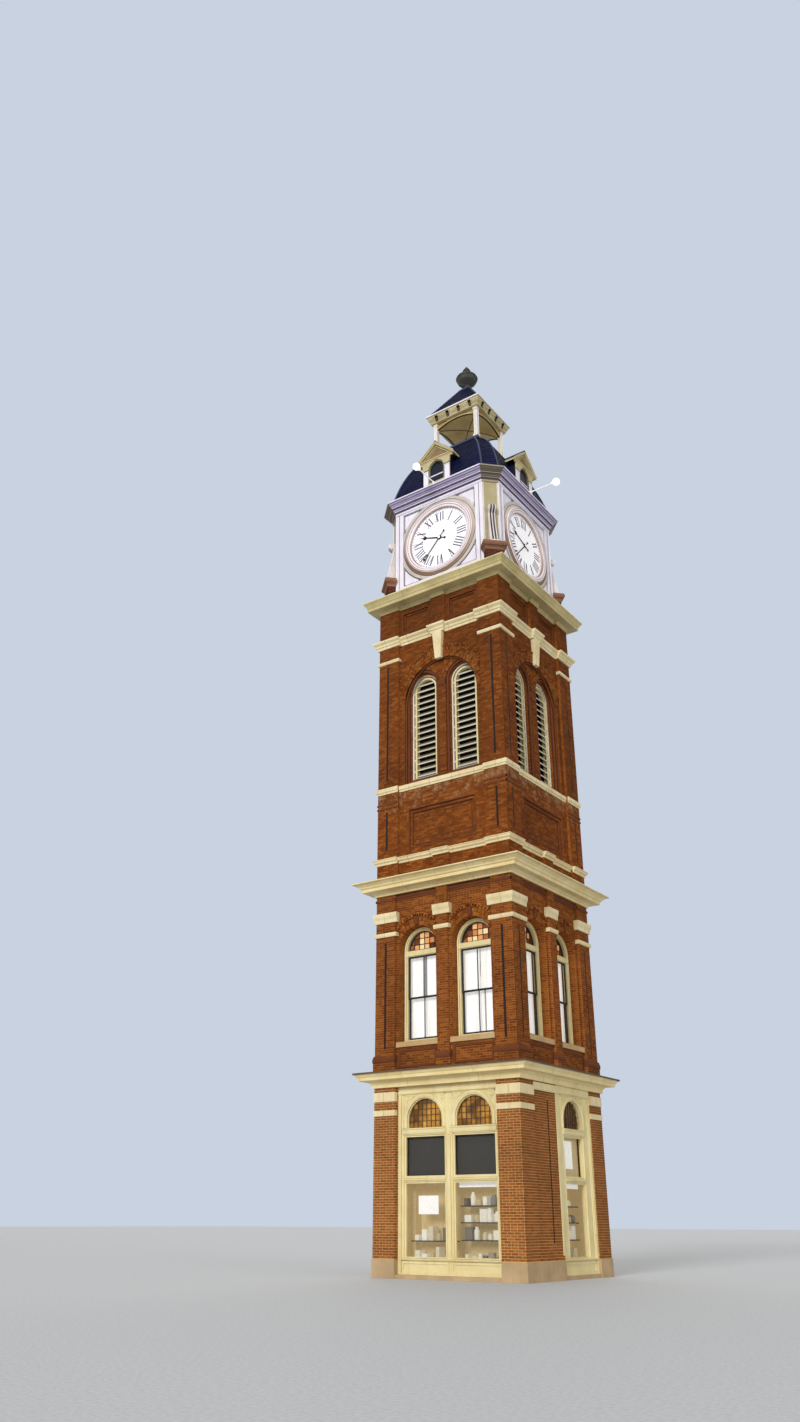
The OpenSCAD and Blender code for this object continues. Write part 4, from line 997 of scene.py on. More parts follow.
def brick_mouldings(side):
    """Rolls round the sunk panels, strings, necking courses, nook rolls and the windows' key bricks."""
    shape = Shape("brick_mouldings_%d" % side, "moulded_brick", smooth=35)
    half, z0, z1 = BASE_PANEL
    for inset, foot, head, d in ((0.0, 0.0, 0.0, 0.0), (0.11, 0.11, 0.11, SUNK[0]),
                                 (0.21, 0.3, 0.23, SUNK[1])):
        shape.roll_border(inset - half, half - inset, z0 + foot, z1 - head, 0.022, RECESS - d)
    for sign in BOTH:
        u0, u1 = ends(sign, MID_STRIP + FRIEZE_MARGIN, SHAFT_EDGE - FRIEZE_MARGIN)
        shape.roll_border(u0, u1, Z_ENTAB_TOP + 0.2, Z_BIG - 0.2, 0.02, RECESS)
        shape.roll_border(u0 + 0.13, u1 - 0.13, Z_ENTAB_TOP + 0.33, Z_BIG - 0.33, 0.018, RECESS - SUNK[1])
        for edge, proud, tall, z in ((SHAFT_EDGE, 0.025, 0.055, Z_SILL - 0.54),
                                     (SHAFT_EDGE, 0.025, 0.055, Z_SILL - 0.4),
                                     (UPPER_EDGE, 0.03, 0.07, Z_MAIN - 0.19)):
            shape.box(sign * (edge - 0.02), sign * (HALF + proud), HALF, HALF + proud, z, z + tall)
        u0, u1 = ends(sign, MID_PILASTER, UPPER_EDGE)
        shape.border(u0 + 0.1, u1 - 0.1, Z_FIRST_TOP + 0.13, Z_WIN - 0.22, 0.065, RECESS, RECESS + 0.028)
        shape.box(u0, u1, RECESS, RECESS + 0.03, Z_MAIN - 0.19, Z_MAIN - 0.12)
        shape.box(u0, u1, RECESS, RECESS + 0.05, Z_MAIN - 0.12, Z_MAIN - 0.05)
        foot_cap(shape, sign * (UPPER_EDGE - FOOT_PROUD), sign * (HALF + FOOT_PROUD))
    foot_cap(shape, -MID_PILASTER - FOOT_PROUD, MID_PILASTER + FOOT_PROUD)
    for profile in (moved(BLIND_FACE, Z_STRING, (-0.02, -0.2), (0.03, -0.17), (0.045, 0.0), (-0.02, 0.0)),
                    moved(BLIND_FACE, Z_STRING, *rectangle(-0.02, 0.03, -0.54, -0.47))):
        for u0, u1 in ((-BLIND_R, -BELFRY_X - REVEAL), (REVEAL - BELFRY_X, BELFRY_X - REVEAL),
                       (BELFRY_X + REVEAL, BLIND_R)):
            shape.level(profile, u0, u1)
    for u in (-BELFRY_X, BELFRY_X):
        roll = circle(0.06, BLIND_FACE - 0.048, 0.048)
        shape.arched(u, Z_OPENING - 0.05, Z_OPENING_SPRING, BELFRY_HALF, roll)
    shape.arched(0.0, Z_SILL_TOP, Z_BLIND, BLIND_R, circle(-0.035, BLIND_FACE + 0.045, 0.028), 40)
    for u in (-WIN_X, WIN_X):
        z = Z_WIN_SPRING + WIN_HALF
        for left in (u - 0.066, u + 0.002):
            shape.box(left, left + 0.063, RECESS, RECESS + 0.06, z + 0.01, z + 0.37)


def slot_shadows():
    """Dark strips of painted shade in the backs of the upright slots."""
    shape = Shape("slot_shadows", "soot_black")
    for side in sides():
        for sign in BOTH:
            u, half = sign * SLOT_X, SLOT_HALF - 0.002
            for z0, z1 in (UPPER_SLOT, BASE_SLOT, BELFRY_SLOT):
                shape.box(u - half, u + half, HALF - SLOT_DEPTH, HALF - 0.006, z0 + 0.002, z1 - 0.002)
        if side % 2:
            (u, z0, z1), half, d = PIER_SLOT, SLOT_HALF - 0.004, HALF - PANEL_BACK
            shape.box(u - half, u + half, d - SLOT_DEPTH, d - 0.012, z0 + 0.004, z1 - 0.004)


# Belfry louvres

LOUVRE_FACE = HALF - 0.48
LOUVRE_HALF = BELFRY_HALF - 0.16
SLATS = 16
SLAT_FOOT = Z_OPENING + 0.1
SLAT_PITCH = (Z_OPENING_SPRING + LOUVRE_HALF - SLAT_FOOT) / SLATS
SLAT_SLOPE = math.tan(math.radians(40))
SLAT_BACK = HALF - 0.69
SLAT_DROP = 0.06 * SLAT_SLOPE
CLIPS = 8


def louvre_slats():
    """Deep slats over the frames' own, each with a bright lower lip as a painted highlight, and painted shade
    behind them.
    """
    blades = Shape("louvre_blades", "louvre_slats")
    lip_highlights = Shape("louvre_lip_highlights", "slat_edges")
    shade_screens = Shape("louvre_shade_screens", "soot_black")
    light = Hole(0.0, LOUVRE_HALF, 0.0, Z_OPENING_SPRING)
    wall = Hole(0.0, BELFRY_HALF - 0.01, 0.0, Z_OPENING_SPRING)
    front = LOUVRE_FACE + 0.004
    for u in sides(-BELFRY_X, BELFRY_X):
        for n in range(SLATS):
            middle = SLAT_FOOT + (n + 0.5) * SLAT_PITCH - SLAT_DROP
            corners = []
            for d, lift in ((front, -0.024), (front, 0.022), (SLAT_BACK, 0.022), (SLAT_BACK, -0.024)):
                z = middle - (d - LOUVRE_FACE) * SLAT_SLOPE + lift
                corners.append((max(0.02, width_at(light if d == front else wall, z) - 0.004), d, z))
            blades.tube([[(u + sign * reach, d, z) for reach, d, z in corners] for sign in BOTH])
            # A bright lip on each slat's front edge: a painted highlight
            reach = width_at(light, middle + 0.02) - 0.004
            if reach > 0.03:
                low, high = middle - 0.03, middle + 0.014
                lip_highlights.box(u - reach, u + reach, LOUVRE_FACE, LOUVRE_FACE + 0.014, low, high)
        shade_screens.arched_plate(u, Z_OPENING, Z_OPENING_SPRING, BELFRY_HALF - 0.006, SLAT_BACK - 0.03,
                             SLAT_BACK - 0.005)


def louvre_trim():
    """The louvres' lining with its clips, its outer line and its inner bead, and the trays at their feet."""
    foot = Z_OPENING + 0.01
    for name, material, radius, lift, *section in (
            ("louvre_lining", "louvre_lining", BELFRY_HALF, 0.0, -0.12, -0.03, -0.002, 0.012),
            ("louvre_edges", "pale_paint", BELFRY_HALF, 0.0, -0.05, -0.006, 0.0, 0.07),
            ("louvre_beads", "cream_paint", LOUVRE_HALF, 0.03, 0.0, 0.068, -0.03, 0.04)):
        shape = Shape(name, material, smooth=40)
        for u in sides(-BELFRY_X, BELFRY_X):
            profile = moved(0.0, LOUVRE_FACE, *rectangle(*section))
            shape.arched(u, foot + lift, Z_OPENING_SPRING, radius, profile)
    clips = Shape("louvre_clips", "slat_edges")
    trays = Shape("louvre_trays", "louvre_tray")
    for u in sides(-BELFRY_X, BELFRY_X):
        for k in range(CLIPS):
            z = foot + 0.3 + 0.42 * k
            for sign in BOTH:
                centre = u + sign * (BELFRY_HALF - 0.072)
                clips.box(centre - 0.024, centre + 0.024, LOUVRE_FACE + 0.01, LOUVRE_FACE + 0.03, z,
                          z + 0.06)
        tray = moved(LOUVRE_FACE, foot, (-0.1, 0.11), (0.1, -0.01), (0.11, 0.0), (0.11, 0.045),
                     (0.095, 0.045), (0.09, 0.02), (-0.1, 0.13))
        trays.level(tray, u - LOUVRE_HALF - 0.05, u + LOUVRE_HALF + 0.05)


# Shopfronts

SHOP_FRAME = 0.15
SHOP_SILL = 0.5
SHOP_RAIL = (Z_FIRST - 2.58, Z_FIRST - 2.47)
SHOP_TRANSOM = (Z_FIRST - 1.34, Z_FIRST - 1.14)
LUNETTE_SPRING = Z_FIRST - 0.94
LUNETTE_COLUMNS = 8
LUNETTE_PITCH = 0.165
LUNETTE_ROWS = [SHOP_TRANSOM[1] + 0.02 + LUNETTE_PITCH * k for k in range(1, 6)]
BORDER_W = 0.1
BORDER_HEAD = Z_FIRST - 0.19
BORDER_TOP = BORDER_HEAD - 0.04
KERB = 0.1
BOARD = 0.03
BATTEN_PITCH = 0.3
DISPLAY_DEPTH = 0.7
LOW_SHELF = (0.95,)
SHELF_TOPS = (0.98, 1.42, 1.84)
LOW_POSTER = (1.62, 2.1)
POSTER_FOOT = 2.3
MULLION = 0.055
SHOP_SEED = 11
SHARE_OF_BOTTLES = 0.35

# A shop window: its frame's face and ends, its lights' middles, their half width, and the lunettes' radius
WIDE_BAY = (HALF - 0.22, -PIER, PIER, (-0.84, 0.84), 0.715, 0.62)
SIDE_BAY = (HALF - 0.08, BLIND_END, SIDE_PIER, ((BLIND_END + SIDE_PIER) / 2,), 0.615, 0.59)


def shop_bays():
    """Turns to each shop window: a wide one on the front and on the back, and a narrow one on each side."""
    for side in (0, 2, 1, 3):
        Shape.side = side
        yield SIDE_BAY if side % 2 else WIDE_BAY
    Shape.side = 0


def shop_mouldings():
    """Borders, pilaster strips, arch mouldings, sills and panels of the shop windows."""
    shape = Shape("shop_mouldings", "cream_paint", smooth=40)
    low, high = SHOP_TRANSOM
    for d, x0, x1, lights, half, r in shop_bays():
        for end, sign in ((x0, 1), (x1, -1)):
            for profile, foot in ((rectangle(0.0, BORDER_W, d, d + 0.05), KERB),
                                  (circle(BORDER_W + 0.02, d, 0.02), SHOP_SILL)):
                shape.upright([(end + sign * a, b) for a, b in profile], foot, BORDER_HEAD)
        shape.box(x0, x1, d, d + 0.055, BORDER_HEAD, Z_FIRST)
        shape.level(moved(d, BORDER_HEAD, (0.02, -0.035), (0.075, 0.0), (0.075, 0.03), (0.02, 0.03)), x0, x1)
        for u in lights:
            left, right = u - half, u + half
            for profile in (moved(0.0, d, (0.0, 0.0), (0.115, 0.0), (0.115, 0.02), (0.095, 0.045),
                                  (0.05, 0.05), (0.03, 0.03), (0.0, 0.025)),
                            circle(-0.015, d - 0.04, 0.015)):
                shape.arched(u, high, LUNETTE_SPRING, r, profile, 32)
            spandrels(shape, d, u, r)
            shape.level(moved(d, low, (0.0, 0.03), (0.03, 0.03), (0.045, 0.06), (0.045, 0.14), (0.07, 0.16),
                              (0.07, 0.185), (0.0, 0.2)), left - 0.04, right + 0.04)
            shape.level(circle(d + 0.01, sum(SHOP_RAIL) / 2, 0.03), left, right)
            for z0, z1 in ((SHOP_SILL, SHOP_RAIL[0]), (SHOP_RAIL[1], low)):
                shape.border(left, right, z0, z1, 0.045, d - 0.08, d - 0.03)
                shape.border(left - 0.025, right + 0.025, z0 - 0.02, z1 + 0.02, 0.02, d, d + 0.012)
        x0, x1, cuts = x0 + BORDER_W, x1 - BORDER_W, ()
        if len(lights) == 2:
            shape.box(-MULLION, MULLION, d, d + 0.045, SHOP_SILL, low)
            shape.upright(circle(0.0, d + 0.045, 0.022), SHOP_SILL + 0.1, low - 0.02)
            cuts = (-0.03, 0.03)
        shape.level(moved(d, SHOP_SILL, (0.0, -0.05), (0.05, -0.05), (0.08, -0.02), (0.08, 0.0),
                          (0.0, 0.02)), x0, x1)
        cuts = (x0, *cuts, x1)
        for a, b in zip(cuts[::2], cuts[1::2]):
            shape.border(a + 0.02, b - 0.02, KERB + 0.03, SHOP_SILL - 0.07, 0.055, d, d + 0.03)
        shape.box(x0 - BORDER_W, x1 + BORDER_W, d, d + 0.04, KERB, KERB + 0.04)


def spandrels(shape, d, u, r):
    """Sunk-looking corners over a lunette: a border, and a curled rib that follows the arch."""
    reach = r + 0.115
    for sign in BOTH:
        edge = u + sign * reach
        a, b = sorted((edge, edge - sign * 0.022))
        shape.upright(rectangle(a, b, d, d + 0.02), LUNETTE_SPRING, BORDER_TOP)
        line = []
        for t in steps(14):
            swing, radius = math.radians(38 + 30 * t), r + 0.15 + 0.1 * math.sin(math.pi * t)
            line.append((u + sign * radius * math.cos(swing), LUNETTE_SPRING + radius * math.sin(swing)))
        for t in steps(21):
            a, radius = 2.6 * math.pi * t - 0.6, 0.075 * (1 - 0.75 * t)
            line.append((u + sign * (reach - 0.1 + radius * math.sin(a)),
                         BORDER_TOP - 0.1 - radius * math.cos(a)))
        shape.rib(line, d + 0.006, 0.013)
    shape.box(u - reach, u + reach, d, d + 0.02, BORDER_TOP - 0.022, BORDER_TOP)


def shop_windows():
    """What shows in the shop windows: lunette panes, bare upper boards, and plain goods on shelves."""
    lead = Shape("lunette_bars", "lunette_bars")
    panes = Shape("lunette_panes", "amber_panes")
    boards = Shape("upper_boards", "bare_panel")
    posters = Shape("blank_posters", "blank_poster")
    goods = Shape("shop_goods", "plain_goods", bevel=0.004)
    shelves = Shape("shop_shelves", "shelf_grey")
    backs = Shape("shop_backs", "lit_room")
    draw = random.Random(SHOP_SEED)
    low, high = SHOP_RAIL[1], SHOP_TRANSOM[0]
    for d, x0, x1, lights, half, r in shop_bays():
        wide = len(lights) == 2
        glass = d - SHOP_FRAME
        back = glass - DISPLAY_DEPTH
        shop_box(backs, x0 + 0.02, x1 - 0.02, back, glass - 0.02)
        for u in lights:
            left, right = u - half, u + half
            lunette_bars(lead, panes, u, r, glass + 0.02)
            target, depth = (boards, 0.05) if wide else (backs, 0.09)
            target.box(left - 0.03, right + 0.03, glass - depth, glass - depth + 0.015, low - 0.03,
                       high + 0.03)
            if not wide:
                posters.box(u - 0.3, u + 0.26, glass - 0.075, glass - 0.06, low + 0.26, high - 0.12)
            if wide and u < 0:
                posters.box(u - 0.38, u + 0.3, glass - 0.1, glass - 0.085, *LOW_POSTER)
                shelf_tops = LOW_SHELF
            else:
                posters.box(left + 0.04, right - 0.04, glass - 0.1, glass - 0.09, POSTER_FOOT,
                            SHOP_RAIL[0] - 0.01)
                shelf_tops = SHELF_TOPS
            for z in shelf_tops:
                shelves.box(left + 0.05, right - 0.05, back + 0.1, glass - 0.12, z - BOARD, z)
            for z in (SHOP_SILL - 0.06, *shelf_tops):
                shelf_goods(goods, draw, left + 0.12, right - 0.25, glass - 0.2, z)


def shelf_goods(shape, draw, across, end, front, z):
    """A row of plain packets and bottles of drawn sizes."""
    while across < end:
        width, tall, deep = draw.uniform(0.1, 0.24), draw.uniform(0.14, 0.36), draw.uniform(0.1, 0.3)
        if draw.random() < SHARE_OF_BOTTLES:
            r = width / 2
            shape.tube([[(a, b, z + share * tall) for a, b in circle(across + r, front - r, grow * r, 14)]
                        for share, grow in ((0.0, 0.9), (0.08, 1.0), (0.7, 1.0), (0.85, 0.6), (1.0, 0.55))])
        else:
            shape.box(across, across + width, front - deep, front, z, z + tall)
        across += width + draw.uniform(0.02, 0.12)


def shop_box(shape, x0, x1, back, front):
    """The boards round a shop window's display: its floor, back, cheeks and ceiling."""
    low, high = SHOP_SILL - 0.08, SHOP_RAIL[1] + 0.02
    shape.box(x0, x1, back - BOARD, back, low, high)
    left, right = x0 + BOARD, x1 - BOARD
    shape.boxes(back, front, (x0, left, low, high), (right, x1, low, high), (left, right, low, low + BOARD),
                (left, right, high - BOARD, high))
    for across in steps(round((x1 - x0) / BATTEN_PITCH), x0, x1)[1:-1]:
        shape.box(across - 0.012, across + 0.012, back, back + 0.012, low + BOARD, high - BOARD)


def lunette_bars(lead, panes, u, r, d):
    """Upright and level bars over small panes in a lunette."""
    foot = SHOP_TRANSOM[1]
    columns = steps(LUNETTE_COLUMNS, -r, r)
    for across in columns[1:-1]:
        top = LUNETTE_SPRING + chord(r, abs(across))
        lead.box(u + across - 0.009, u + across + 0.009, d, d + 0.02, foot, top)
    for z in LUNETTE_ROWS:
        reach = chord(r, z - LUNETTE_SPRING)
        if reach:
            lead.box(u - reach, u + reach, d + 0.001, d + 0.019, z - 0.008, z + 0.008)
    rows = [foot] + LUNETTE_ROWS + [LUNETTE_SPRING + r]
    for left, right in zip(columns, columns[1:]):
        for low, high in zip(rows, rows[1:]):
            corners = [round_head(a, z, r, LUNETTE_SPRING) for a, z in rectangle(left, right, low, high)]
            if max(corners[2][1], corners[3][1]) - low > 0.01:
                panes.plate(moved(u, 0.0, *corners), d - 0.012, d - 0.006, back=False)


def cornice_trim():
    """The flashing on the first cornice, thin lines on the others, and the band over the blind walls."""
    dark = Shape("cornice_flashing", "dark_flashing")
    pale = Shape("cornice_lines", "cream_paint")
    front = moved(HALF + 0.47, Z_FIRST_TOP, (0.012, -0.012), (0.012, -0.045), (0.02, -0.045), (0.02, 0.006))
    dark.mitred([(HALF, Z_FIRST_TOP)] + front + [(HALF, Z_FIRST_TOP + 0.02)])
    for reach, z in ((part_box("big_cornice")[1][0], Z_BIG_TOP), (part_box("main_cornice")[1][0], Z_MAIN_TOP)):
        pale.mitred(moved(reach, z, (-0.3, 0.0), (0.006, -0.012), (0.006, -0.03), (0.014, -0.03),
                          (0.014, 0.004), (-0.3, 0.012)))
    for side in sides():
        if side % 2:
            pale.box(-PIER, BLIND_END, HALF - 0.003, HALF + 0.022, Z_FIRST - 0.21, Z_FIRST - 0.03)
            pale.level(moved(HALF, Z_FIRST, (0.0, -0.24), (0.03, -0.21), (0.03, -0.19), (0.0, -0.19)),
                       -PIER, BLIND_END)


# Clock stage

DIAL_R = 1.25
DIAL_FACE = CLOCK_HALF - 0.08
SUNK_HALF = 1.59
SUNK_FACE = CLOCK_HALF - 0.06
RING_BACK = (DIAL_R + 0.32, DIAL_R + 0.46)
DRUM_FRONT = CLOCK_HALF + 0.06
NUMERALS = ("XII", "I", "II", "III", "IIII", "V", "VI", "VII", "VIII", "IX", "X", "XI")
THICK = 0.058
THIN = 0.024
LETTER_W = {"I": THICK, "V": 0.15, "X": 0.16}
NUMERAL_R = (0.745, 1.13)
GAP = 0.05
SERIF = 0.012
TICK_R = (1.175, 1.215)
TICK_W = 0.022
FIVE_TICK_W = 0.036
INK = (DIAL_FACE - 0.002, DIAL_FACE + 0.004)
MINUTES_PAST = 37
MINUTE_TURN = math.radians(6 * MINUTES_PAST)
HOUR_TURN = math.radians(270 + MINUTES_PAST / 2)
# Each hand's face, length, width, leaf, turn, tail and boss
HANDS = {"minute": (DIAL_FACE + 0.044, 1.15, 0.046, 0.048, MINUTE_TURN, 0.3, 0.06),
         "hour": (DIAL_FACE + 0.024, 0.93, 0.064, 0.078, HOUR_TURN, 0.24, 0.074)}
CORNER_D = (2 * CLOCK_HALF - CORNER_LEG) / math.sqrt(2)
PEDESTAL_HALF = 0.32
PEDESTAL_L = 0.31
Z_CAP = Z_BIG_TOP + 0.83
Z_CAP_TOP = Z_CAP + 0.17
SCROLL_R = 0.12
SCROLL_HALF = 0.12
Z_SCROLL = Z_CAP_TOP + 1.72 - SCROLL_R
# Lines down a scroll's front: their middle, half width under and over, and depth under and over
SCROLL_RIBS = ((-0.1, 0.018, 0.0108, 0.005, 0.022), (0.0, 0.02, 0.012, 0.005, 0.022),
               (0.1, 0.018, 0.0108, 0.005, 0.022))
# The flutes are dark strips of painted shade
SCROLL_FLUTE_SHADES = ((-0.051, 0.027, 0.027, 0.003, 0.006), (0.051, 0.027, 0.027, 0.003, 0.006))
# Mouldings round a pedestal, under its cap and on its edge: each a line of (stand-out, up)
CAP_MOULDINGS = (((0.002, -0.16), (0.02, -0.15), (0.02, -0.11), (0.035, -0.07), (0.065, -0.03),
                  (0.1, -0.005), (0.1, 0.002)),
                 ((0.112, 0.03), (0.13, 0.05), (0.13, 0.1), (0.115, 0.12)))


def turned(x, y, turn):
    """A point on a dial, turned clockwise as seen from outside."""
    return x * math.cos(turn) + y * math.sin(turn), y * math.cos(turn) - x * math.sin(turn)


def stroke(shape, x0, x1, y0, y1, width, turn):
    """A straight stroke on a dial, from x0 at its foot to x1 at its head as it stands at twelve."""
    half = width / 2
    corners = ((x0 - half, y0), (x0 + half, y0), (x1 + half, y1), (x1 - half, y1))
    outline = [turned(x, y, turn) for x, y in corners]
    shape.plate(moved(0.0, Z_DIAL, *outline), *INK, back=False)


def numeral(shape, letters, turn):
    """An upright-serif numeral whose foot points at the dial's middle."""
    x = -(sum(LETTER_W[c] for c in letters) + GAP * (len(letters) - 1)) / 2
    low, high = NUMERAL_R
    for c in letters:
        w = LETTER_W[c]
        middle, right = x + w / 2, x + w
        strokes = {"I": ((middle, middle, THICK * 0.8),),
                   "V": ((middle, x + THICK / 2, THICK), (middle, right - THIN / 2, THIN)),
                   "X": ((right - THICK / 2, x + THICK / 2, THICK), (x + THIN / 2, right - THIN / 2, THIN))}
        for x0, x1, width in strokes[c]:
            stroke(shape, x0, x1, low, high, width, turn)
        for y in (high - SERIF,) if c == "V" else (low, high - SERIF):
            stroke(shape, middle, middle, y, y + SERIF, w + 0.02, turn)
        x = right + GAP


def dial_marks():
    """The numerals, the minute track and the lines round the dial's edge."""
    ink = Shape("dial_marks", "numeral_grey")
    edge = Shape("dial_edges", "dial_rim", smooth=60)
    for _ in sides():
        for n, letters in enumerate(NUMERALS):
            numeral(ink, letters, math.radians(30 * n))
        for n in range(60):
            stroke(ink, 0.0, 0.0, *TICK_R, TICK_W if n % 5 else FIVE_TICK_W, math.radians(6 * n))
        for grow, d, r in ((0.004, DIAL_FACE + 0.035, 0.026), (0.1, DRUM_FRONT - 0.013, 0.016),
                           (0.172, DRUM_FRONT - 0.004, 0.013)):
            edge.full_ring(circle(DIAL_R + grow, d, r))


def clock_wall_trim():
    """The flat ring behind each drum, greyed as painted shade, the corner panels' mouldings, the corner beads
    and painted shadow lines.
    """
    pale = Shape("clock_wall_trim", "white_paint", smooth=40)
    lines = Shape("clock_wall_shadow_lines", "shadow_brown")
    back = Shape("drum_back_rings", "ring_grey")
    inner, outer = RING_BACK
    square = SUNK_HALF + 0.03
    for _ in sides():
        rings = []
        for a in turns(96):
            reach = min(outer, (SUNK_HALF - 0.006) / max(abs(math.cos(a)), abs(math.sin(a))))
            section = rectangle(inner, reach, SUNK_FACE - 0.002, SUNK_FACE + 0.038)
            rings.append([(r * math.cos(a), d, Z_DIAL + r * math.sin(a)) for r, d in section])
        back.tube(rings, closed=True)
        # A dark ring of painted shadow where the drum meets the flat ring
        lines.full_ring(rectangle(inner, inner + 0.018, SUNK_FACE + 0.03, SUNK_FACE + 0.041))
        for su in BOTH:
            for sz in BOTH:
                corner_panel(pale, lines, su, sz)
        for sign in BOTH:
            pale.upright(circle(sign * square, CLOCK_HALF - 0.002, 0.012), Z_DIAL - square, Z_DIAL + square)
            pale.level(circle(CLOCK_HALF - 0.002, Z_DIAL + sign * square, 0.012), -square, square)
            corner = sign * (CLOCK_HALF - CORNER_LEG)
            pale.upright(circle(corner, CLOCK_HALF - 0.004, 0.02), Z_BIG_TOP, Z_CLOCK_TOP)
            # A dark strip of painted shadow beside each corner bead
            lines.box(corner * 0.92, corner * 0.931, CLOCK_HALF - 0.002, CLOCK_HALF + 0.003,
                      Z_BIG_TOP + 0.12, Z_CLOCK_TOP - 0.04)
        Shape.side += 0.5
        for sign in BOTH:
            across = sign * (CORNER_LEG / math.sqrt(2) - 0.05)
            pale.upright(circle(across, CORNER_D - 0.002, 0.012), Z_CAP_TOP, Z_CLOCK_TOP)


def corner_panel(pale, lines, su, sz):
    """A three-cornered panel in a corner of the sunk square, with strips of painted shadow at its edges."""
    outer, ring = SUNK_HALF - 0.07, RING_BACK[1]
    clear = ring + 0.05
    first = math.acos(outer / clear)
    arc = [(math.cos(a), math.sin(a)) for a in steps(12, first, math.pi / 2 - first)]
    line = [(outer, outer)] + [(clear * a, clear * b) for a, b in reversed(arc)]
    points = [(su * a, Z_DIAL + sz * b) for a, b in line]
    pale.rib(points + points[:1], SUNK_FACE + 0.004, 0.017)
    if su * sz < 0:
        points.reverse()
    pale.plate(points, SUNK_FACE - 0.002, SUNK_FACE + 0.008, back=False)
    # Painted shadow under the ring on the lower panels
    if sz < 0:
        near = ring + 0.024
        lines.rib([(su * near * a, Z_DIAL - near * b) for a, b in arc], SUNK_FACE + 0.004, 0.02)
    # Painted shadow along the sunk square's edges
    edge = SUNK_HALF - 0.012
    start = chord(ring, edge)
    for a0, a1, b0, b1 in ((start, edge, edge - 0.07, edge), (edge - 0.055, edge, start, edge - 0.07)):
        lines.box(su * a0, su * a1, SUNK_FACE - 0.002, SUNK_FACE + 0.004, Z_DIAL + sz * b0, Z_DIAL + sz * b1)


def hand_ridges():
    """A raised ridge and a boss on each hand, riding with it."""
    for side in sides():
        for kind, (d, length, width, leaf, turn, tail, boss) in HANDS.items():
            name = SIDE_NAMES[side]
            shape = Shape("%s_hand_ridge_%s" % (kind, name), "black_paint", body="%s_hand_%s" % (kind, name))
            neck = length - 3.2 * leaf
            rings = []
            for y, half in ((0.02 - tail, width * 0.2), (-0.08, width * 0.25), (0.08, width * 0.4),
                            (neck - leaf * 0.8, width * 0.24), (neck, leaf * 0.62),
                            (neck + leaf * 0.9, width * 0.3), (length - 0.02, 0.003)):
                ring = []
                for x, lift in ((-half, -0.001), (half, -0.001), (0.0, 0.004)):
                    u, z = turned(x, y, turn)
                    ring.append((u, d + lift, Z_DIAL + z))
                rings.append(ring)
            shape.tube(rings)
            shape.full_ring(rectangle(boss - 0.018, boss, d - 0.001, d + 0.003), 32)


def corner_trim():
    """Ribs and volutes on the scrolls, painted shade in their flutes, mouldings under the pedestals' caps, and
    bricks on the pedestals.
    """
    ribs = Shape("scroll_ribs", "scroll_paint", smooth=50)
    flute_shades = Shape("scroll_flute_shades", "shadow_brown", smooth=50)
    caps = Shape("pedestal_mouldings", "brownstone", smooth=50)
    bricks = Shape("pedestal_bricks", "pedestal_brick")
    body = [(CORNER_D + 0.07 + 0.29 * (1 - t) ** 1.6, Z_CAP_TOP + t * (Z_SCROLL - Z_CAP_TOP))
            for t in steps(16, 0.05, 0.88)]
    axis = CORNER_D + SCROLL_R
    head = [(axis + SCROLL_R * math.cos(a), Z_SCROLL + SCROLL_R * math.sin(a))
            for a in steps(8, math.radians(-40), math.radians(88))]
    near, far = CORNER_D + 0.01, CORNER_D + PEDESTAL_L
    for side in sides():
        Shape.side = side + 0.5
        for shape, across, wide, narrow, under, over in (*((ribs, *line) for line in SCROLL_RIBS),
                                                         *((flute_shades, *line) for line in SCROLL_FLUTE_SHADES)):
            shape.tube([[(across - wide, d - under, z), (across + wide, d - under, z),
                         (across + narrow, d + over, z), (across - narrow, d + over, z)]
                        for d, z in body + head])
        for sign in BOTH:
            spiral = [(math.radians(-90 + 600 * t), SCROLL_R * (0.92 - 0.75 * t)) for t in steps(25)]
            ribs.follow([(sign * (SCROLL_HALF + 0.004), axis + r * math.cos(a), Z_SCROLL + r * math.sin(a))
                         for a, r in spiral], 0.014)
            ribs.follow([(sign * SCROLL_HALF, d - 0.03, z) for d, z in body], 0.014)
        ribs.box(-0.16, 0.16, CORNER_D, CORNER_D + 0.4, Z_CAP_TOP, Z_CAP_TOP + 0.05)
        for profile in CAP_MOULDINGS:
            rings = []
            for out, z in profile:
                across = PEDESTAL_HALF + out
                rings.append([(u, d, Z_CAP + z) for u, d in rectangle(-across, across, CORNER_D, far + out)])
            caps.tube(rings)
        edge = PEDESTAL_HALF + BRICK_PROUD
        for turn, d, u0, u1 in ((0.5, far, -edge, edge), (1.5, PEDESTAL_HALF, -far, -near),
                                (-0.5, PEDESTAL_HALF, near, far)):
            Shape.side = side + turn
            lay_bricks(bricks, d, u0, u1, Z_BIG_TOP + 0.03, Z_CAP - 0.16)


# Clock cornice, dome and dormers

CORNICE_REACH = 0.356
CORNICE_H = Z_CORNICE_TOP - Z_CLOCK_TOP
DOME_FOOT = 2.45
DOME_H = 2.82
DOME_LEVELS = 9
DOME_LEG = 0.18
DOME_ROWS = 21
ROOF_ROWS = 12
ROOF_HALF = (1.17, 0.2)
HIP_R = 0.034
ROOF_HIP_R = 0.028
SLATE_W = 0.21
SLATE_GAP = 0.003
SLATE_LAP = 0.02
SLATE_THICK = 0.014
SLATE_LIFTS = (0.02, 0.005)
GABLE_SLOPE = 0.73 / 0.81
GABLE_TOP = 2.1
GABLE_REACH = 0.83
PEDIMENT_FOOT = 1.38
PEDIMENT_TOP = GABLE_TOP - 0.16
DORMER_D = DOME_FOOT - 0.05
DORMER_BACK = 1.4
DORMER_FRONT = 2.53
DORMER_R = 0.345
DORMER_SPRING = 0.92
DORMER_POST = (0.37, 0.585)
POST_TOP = 0.9
